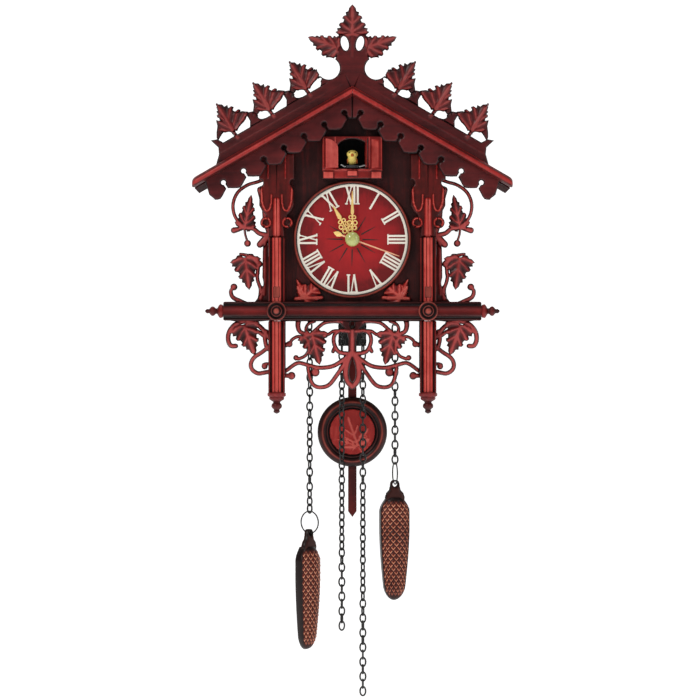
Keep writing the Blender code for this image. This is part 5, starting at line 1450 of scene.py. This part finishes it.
for side, sign, opened in (("Left", -1, math.radians(148)), ("Right", 1, math.radians(96))):
    whole = archOutline(12.6, porch["sill"] + 0.4, porch["head"] - 0.4)
    otherHalf = rectangle(-40, -60, 0.4, 20) if sign > 0 else rectangle(-0.4, -60, 40, 20)
    hinge = Vector((sign * 13 * mm, -89.7 * mm, 0))
    place = Matrix.Translation(hinge) @ Matrix.Rotation(sign * opened, 4, "Z") @ Matrix.Translation(-hinge)
    panelShapes = [panel(whole, 0.55)]
    inner = [(x * 0.72 + sign * 1.6, (z + 24) * 0.76 - 24) for x, z in whole]
    panelShapes.append(panel(inner, 1.0))
    # painted light: the open left leaf's inner face is painted brighter and the right leaf's inner face
    # darker
    carving = {
        "front": -89.2, "back": -87.2, "depth": 0.6, "cell": 1.0, "rounding": 0.5,
        "backShade": 0.86 if side == "Left" else 0.6
    }
    piece = carve(
        f"doorLeaf{side}", panelShapes, [otherHalf], "brightWood", carving, f"{side.lower()}_door",
        place
    )
    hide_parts(f"door_{side.lower()}")


def blob(name, stations, look, body, count=28):
    # A rounded body from (height, radius, forward shift) rings around a centre
    points, faces = [], []
    for up, radius, shift in stations:
        for step in range(count):
            a = 2 * math.pi * step / count
            out = (shift + radius * math.sin(a)) * birdSize
            points.append(
                tuple(part * mm for part in (
                    radius * math.cos(a) * birdSize, birdFeet["out"] + out, birdFeet["up"] + up * birdSize
                ))
            )
    for ring in range(len(stations) - 1):
        for step in range(count):
            a, b = ring * count + step, ring * count + (step + 1) % count
            faces.append((a, b, b + count, a + count))
    faces.append(tuple(range(count)))
    faces.append(tuple(range(len(points) - count, len(points))))
    return addMesh(name, points, faces, look, body, 60.0)


birdSize = 0.84
birdFeet = {"out": -84, "up": -33.7}


def birdSpot(across, out, up):
    # A place on the bird, measured from the middle of its feet
    return across * birdSize, birdFeet["out"] + out * birdSize, birdFeet["up"] + up * birdSize


def birdProfile(profile):
    return [(along * birdSize, radius * birdSize) for along, radius in profile]


birdStations = [
    (0, 0.4, 0.0), (0.3, 1.4, 0), (1.0, 2.8, 0.2), (2.0, 3.9, 0.4), (3.4, 4.7, 0.4), (5, 5.0, 0.2),
    (6.3, 4.8, -0.4), (7.3, 4.4, -0.9),
    (8, 4.3, -1.3), (8.8, 4.8, -1.8), (9.8, 5.4, -2.1), (11, 5.7, -2.2), (12.2, 5.5, -2.1), (13.3, 4.8, -2.0),
    (14.2, 3.6, -1.9),
    (14.8, 2.2, -1.8), (15.15, 0.6, -1.8),
]
piece = blob("birdBody", birdStations, "birdPaint", "bird_carriage")
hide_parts("bird")
beak = [(1.5, 2.0), (0.2, 2.0), (-0.8, 1.7), (-1.8, 1.1), (-2.6, 0.5), (-3.0, 0.15)]
piece = turnedPiece(
    "birdBeak", birdProfile(beak), birdSpot(0, -6.4, 10.2), "Y", "beakPaint", "bird_carriage",
    20
)
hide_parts("bird")
for way in (-1, 1):
    eyeProfile = [(0.4, 0.7), (-0.1, 0.75), (-0.5, 0.45), (-0.6, 0.1)]
    eye = turnedPiece(
        f"birdEye{way + 2}", birdProfile(eyeProfile), birdSpot(way * 2.9, -6.7, 12.5), "Y", "inkPaint",
        "bird_carriage", 14
    )
    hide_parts("bird")
    wing = birdProfile([(0, 0), (3.6, -0.6), (7.2, 1.0), (9.6, 3.0), (7.2, 3.6), (3.2, 4.4), (0.4, 3.6)])
    place = Matrix.Translation(
        Vector(birdSpot(way * 4.7, -3.5, 2.1)) * mm
    ) @ Matrix.Rotation(math.radians(90), 4, "Z")
    carving = {"front": -0.5, "back": 0.5, "depth": 0.5, "cell": 0.8, "rounding": 0.9}
    wingPiece = carve(
        f"birdWing{way + 2}", [panel(wing, 1.0)], [], "beakPaint", carving, "bird_carriage",
        place
    )
    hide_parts("bird")
tail = [(-1, 1.2), (3, 1.8), (7, 2.0), (8.6, 1.6), (9, 0.4)]
piece = turnedPiece(
    "birdTail", birdProfile(tail), birdSpot(0, 3.5, 3.9), "Y", "beakPaint", "bird_carriage", 18
)
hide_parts("bird")
print("bird made")

bobProfile = [
    (0, 24.5), (-0.6, 26.5), (-1.6, 29.4), (-2.4, 30), (-3.2, 30), (-4.4, 29.4), (-5.6, 28.4), (-6.4, 27.2),
    (-6.8, 25.6), (-6.8, 24.4),
    (-6.3, 23.2), (-5.6, 22.6), (-5.2, 22.2), (-5.4, 21.6), (-5.2, 21.0), (-4.4, 20.4), (-4.2, 19.8),
    (-4.3, 12), (-4.4, 4), (-4.4, 0.4),
]
bobShade = [
    0.1, 0.2, 0.25, 0.3, 0.3, 0.35, 0.4, 0.5, 0.95, 0.5, 0.2, 0.05, 0.3, 0.7, 0.3, 0.0, 0.0, 0.1, 0.1, 0.1
]
piece = turnedPiece(
    "bobRim", bobProfile, (0, -26.0, -260.5), "Y", "deepWood", "pendulum", 96, bobShade
)
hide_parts("pendulum_bob")
bobZ = -260.5
discShapes = [
    panel(circle(0, bobZ, 19.9, 64), 0.72),
    leaf((5, bobZ - 13), (-4, bobZ + 14), 24),
    leaf((6, bobZ - 12), (14, bobZ + 4), 11),
    leaf((4, bobZ - 12), (-13, bobZ - 6), 10),
    stroke([(8, bobZ - 17), (5, bobZ - 12), (2, bobZ - 4)], 1.8, 1.2),
]
carving = {"front": -32.6, "back": -30.1, "depth": 2.6, "cell": 0.9, "rounding": 0.8}
piece = carve("bobRelief", discShapes, [], "brightWood", carving, "pendulum")
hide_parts("pendulum_bob")

# CAD pieces that keep their own shape
kept = {
    "panelWood": ["front_board", "case_side_left", "case_side_right"],
    "roofWood": ["roof_board_left", "roof_board_right"],
    "rawWood": ["back_panel", "case_floor"],
    "blackPlastic": [
        "movement_case", "movement_cover", "cuckoo_drive", "speaker", "pendulum_drive", "bird_arm"
    ]
    + ["chain_wheel_left", "chain_wheel_right"],
    "whitePlastic": ["hour_wheel", "minute_wheel", "second_wheel"],
    "cellSleeve": ["battery"],
    "wireSteel": ["door_wire_left", "door_wire_right"],
    "rodWood": ["pendulum_rod"],
}
looks["rodWood"] = carvedWood(
    {"name": "rodWood", "grain": upright, "rough": 0.4, "stops": brightStops, "level": 0.34}
)
for look, names in kept.items():
    for name in names:
        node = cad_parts[name]
        node.data.materials.clear()
        node.data.materials.append(looks[look])
        if look in ("panelWood", "roofWood", "rawWood", "rodWood", "blackPlastic"):
            edge = node.modifiers.new("softEdge", "BEVEL")
            edge.width = 0.0004
            edge.segments = 2
            edge.limit_method = "ANGLE"
            edge.angle_limit = math.radians(40)
print("case dressed")

# Floor that sweeps up behind the clock
sweep = {"floor": -0.62, "near": -4.5, "bend": 3.4, "radius": 1.4, "top": 4.0, "half": 6.0}
profile = [(sweep["near"], sweep["floor"]), (sweep["bend"], sweep["floor"])]
for step in range(1, 17):
    a = math.pi / 2 * step / 16
    profile.append(
        (sweep["bend"] + sweep["radius"] * math.sin(a), sweep["floor"] + sweep["radius"] * (1 - math.cos(a)))
    )
profile.append((sweep["bend"] + sweep["radius"], sweep["top"]))
mesh = bpy.data.meshes.new("studioFloor")
points = [(sign * sweep["half"], y, z) for y, z in profile for sign in (-1, 1)]
mesh.from_pydata(points, [], [(2 * i, 2 * i + 1, 2 * i + 3, 2 * i + 2) for i in range(len(profile) - 1)])
mesh.materials.append(looks["floorPaper"])
mesh.shade_smooth()
floor = bpy.data.objects.new("studioFloor", mesh)
bpy.context.scene.collection.objects.link(floor)
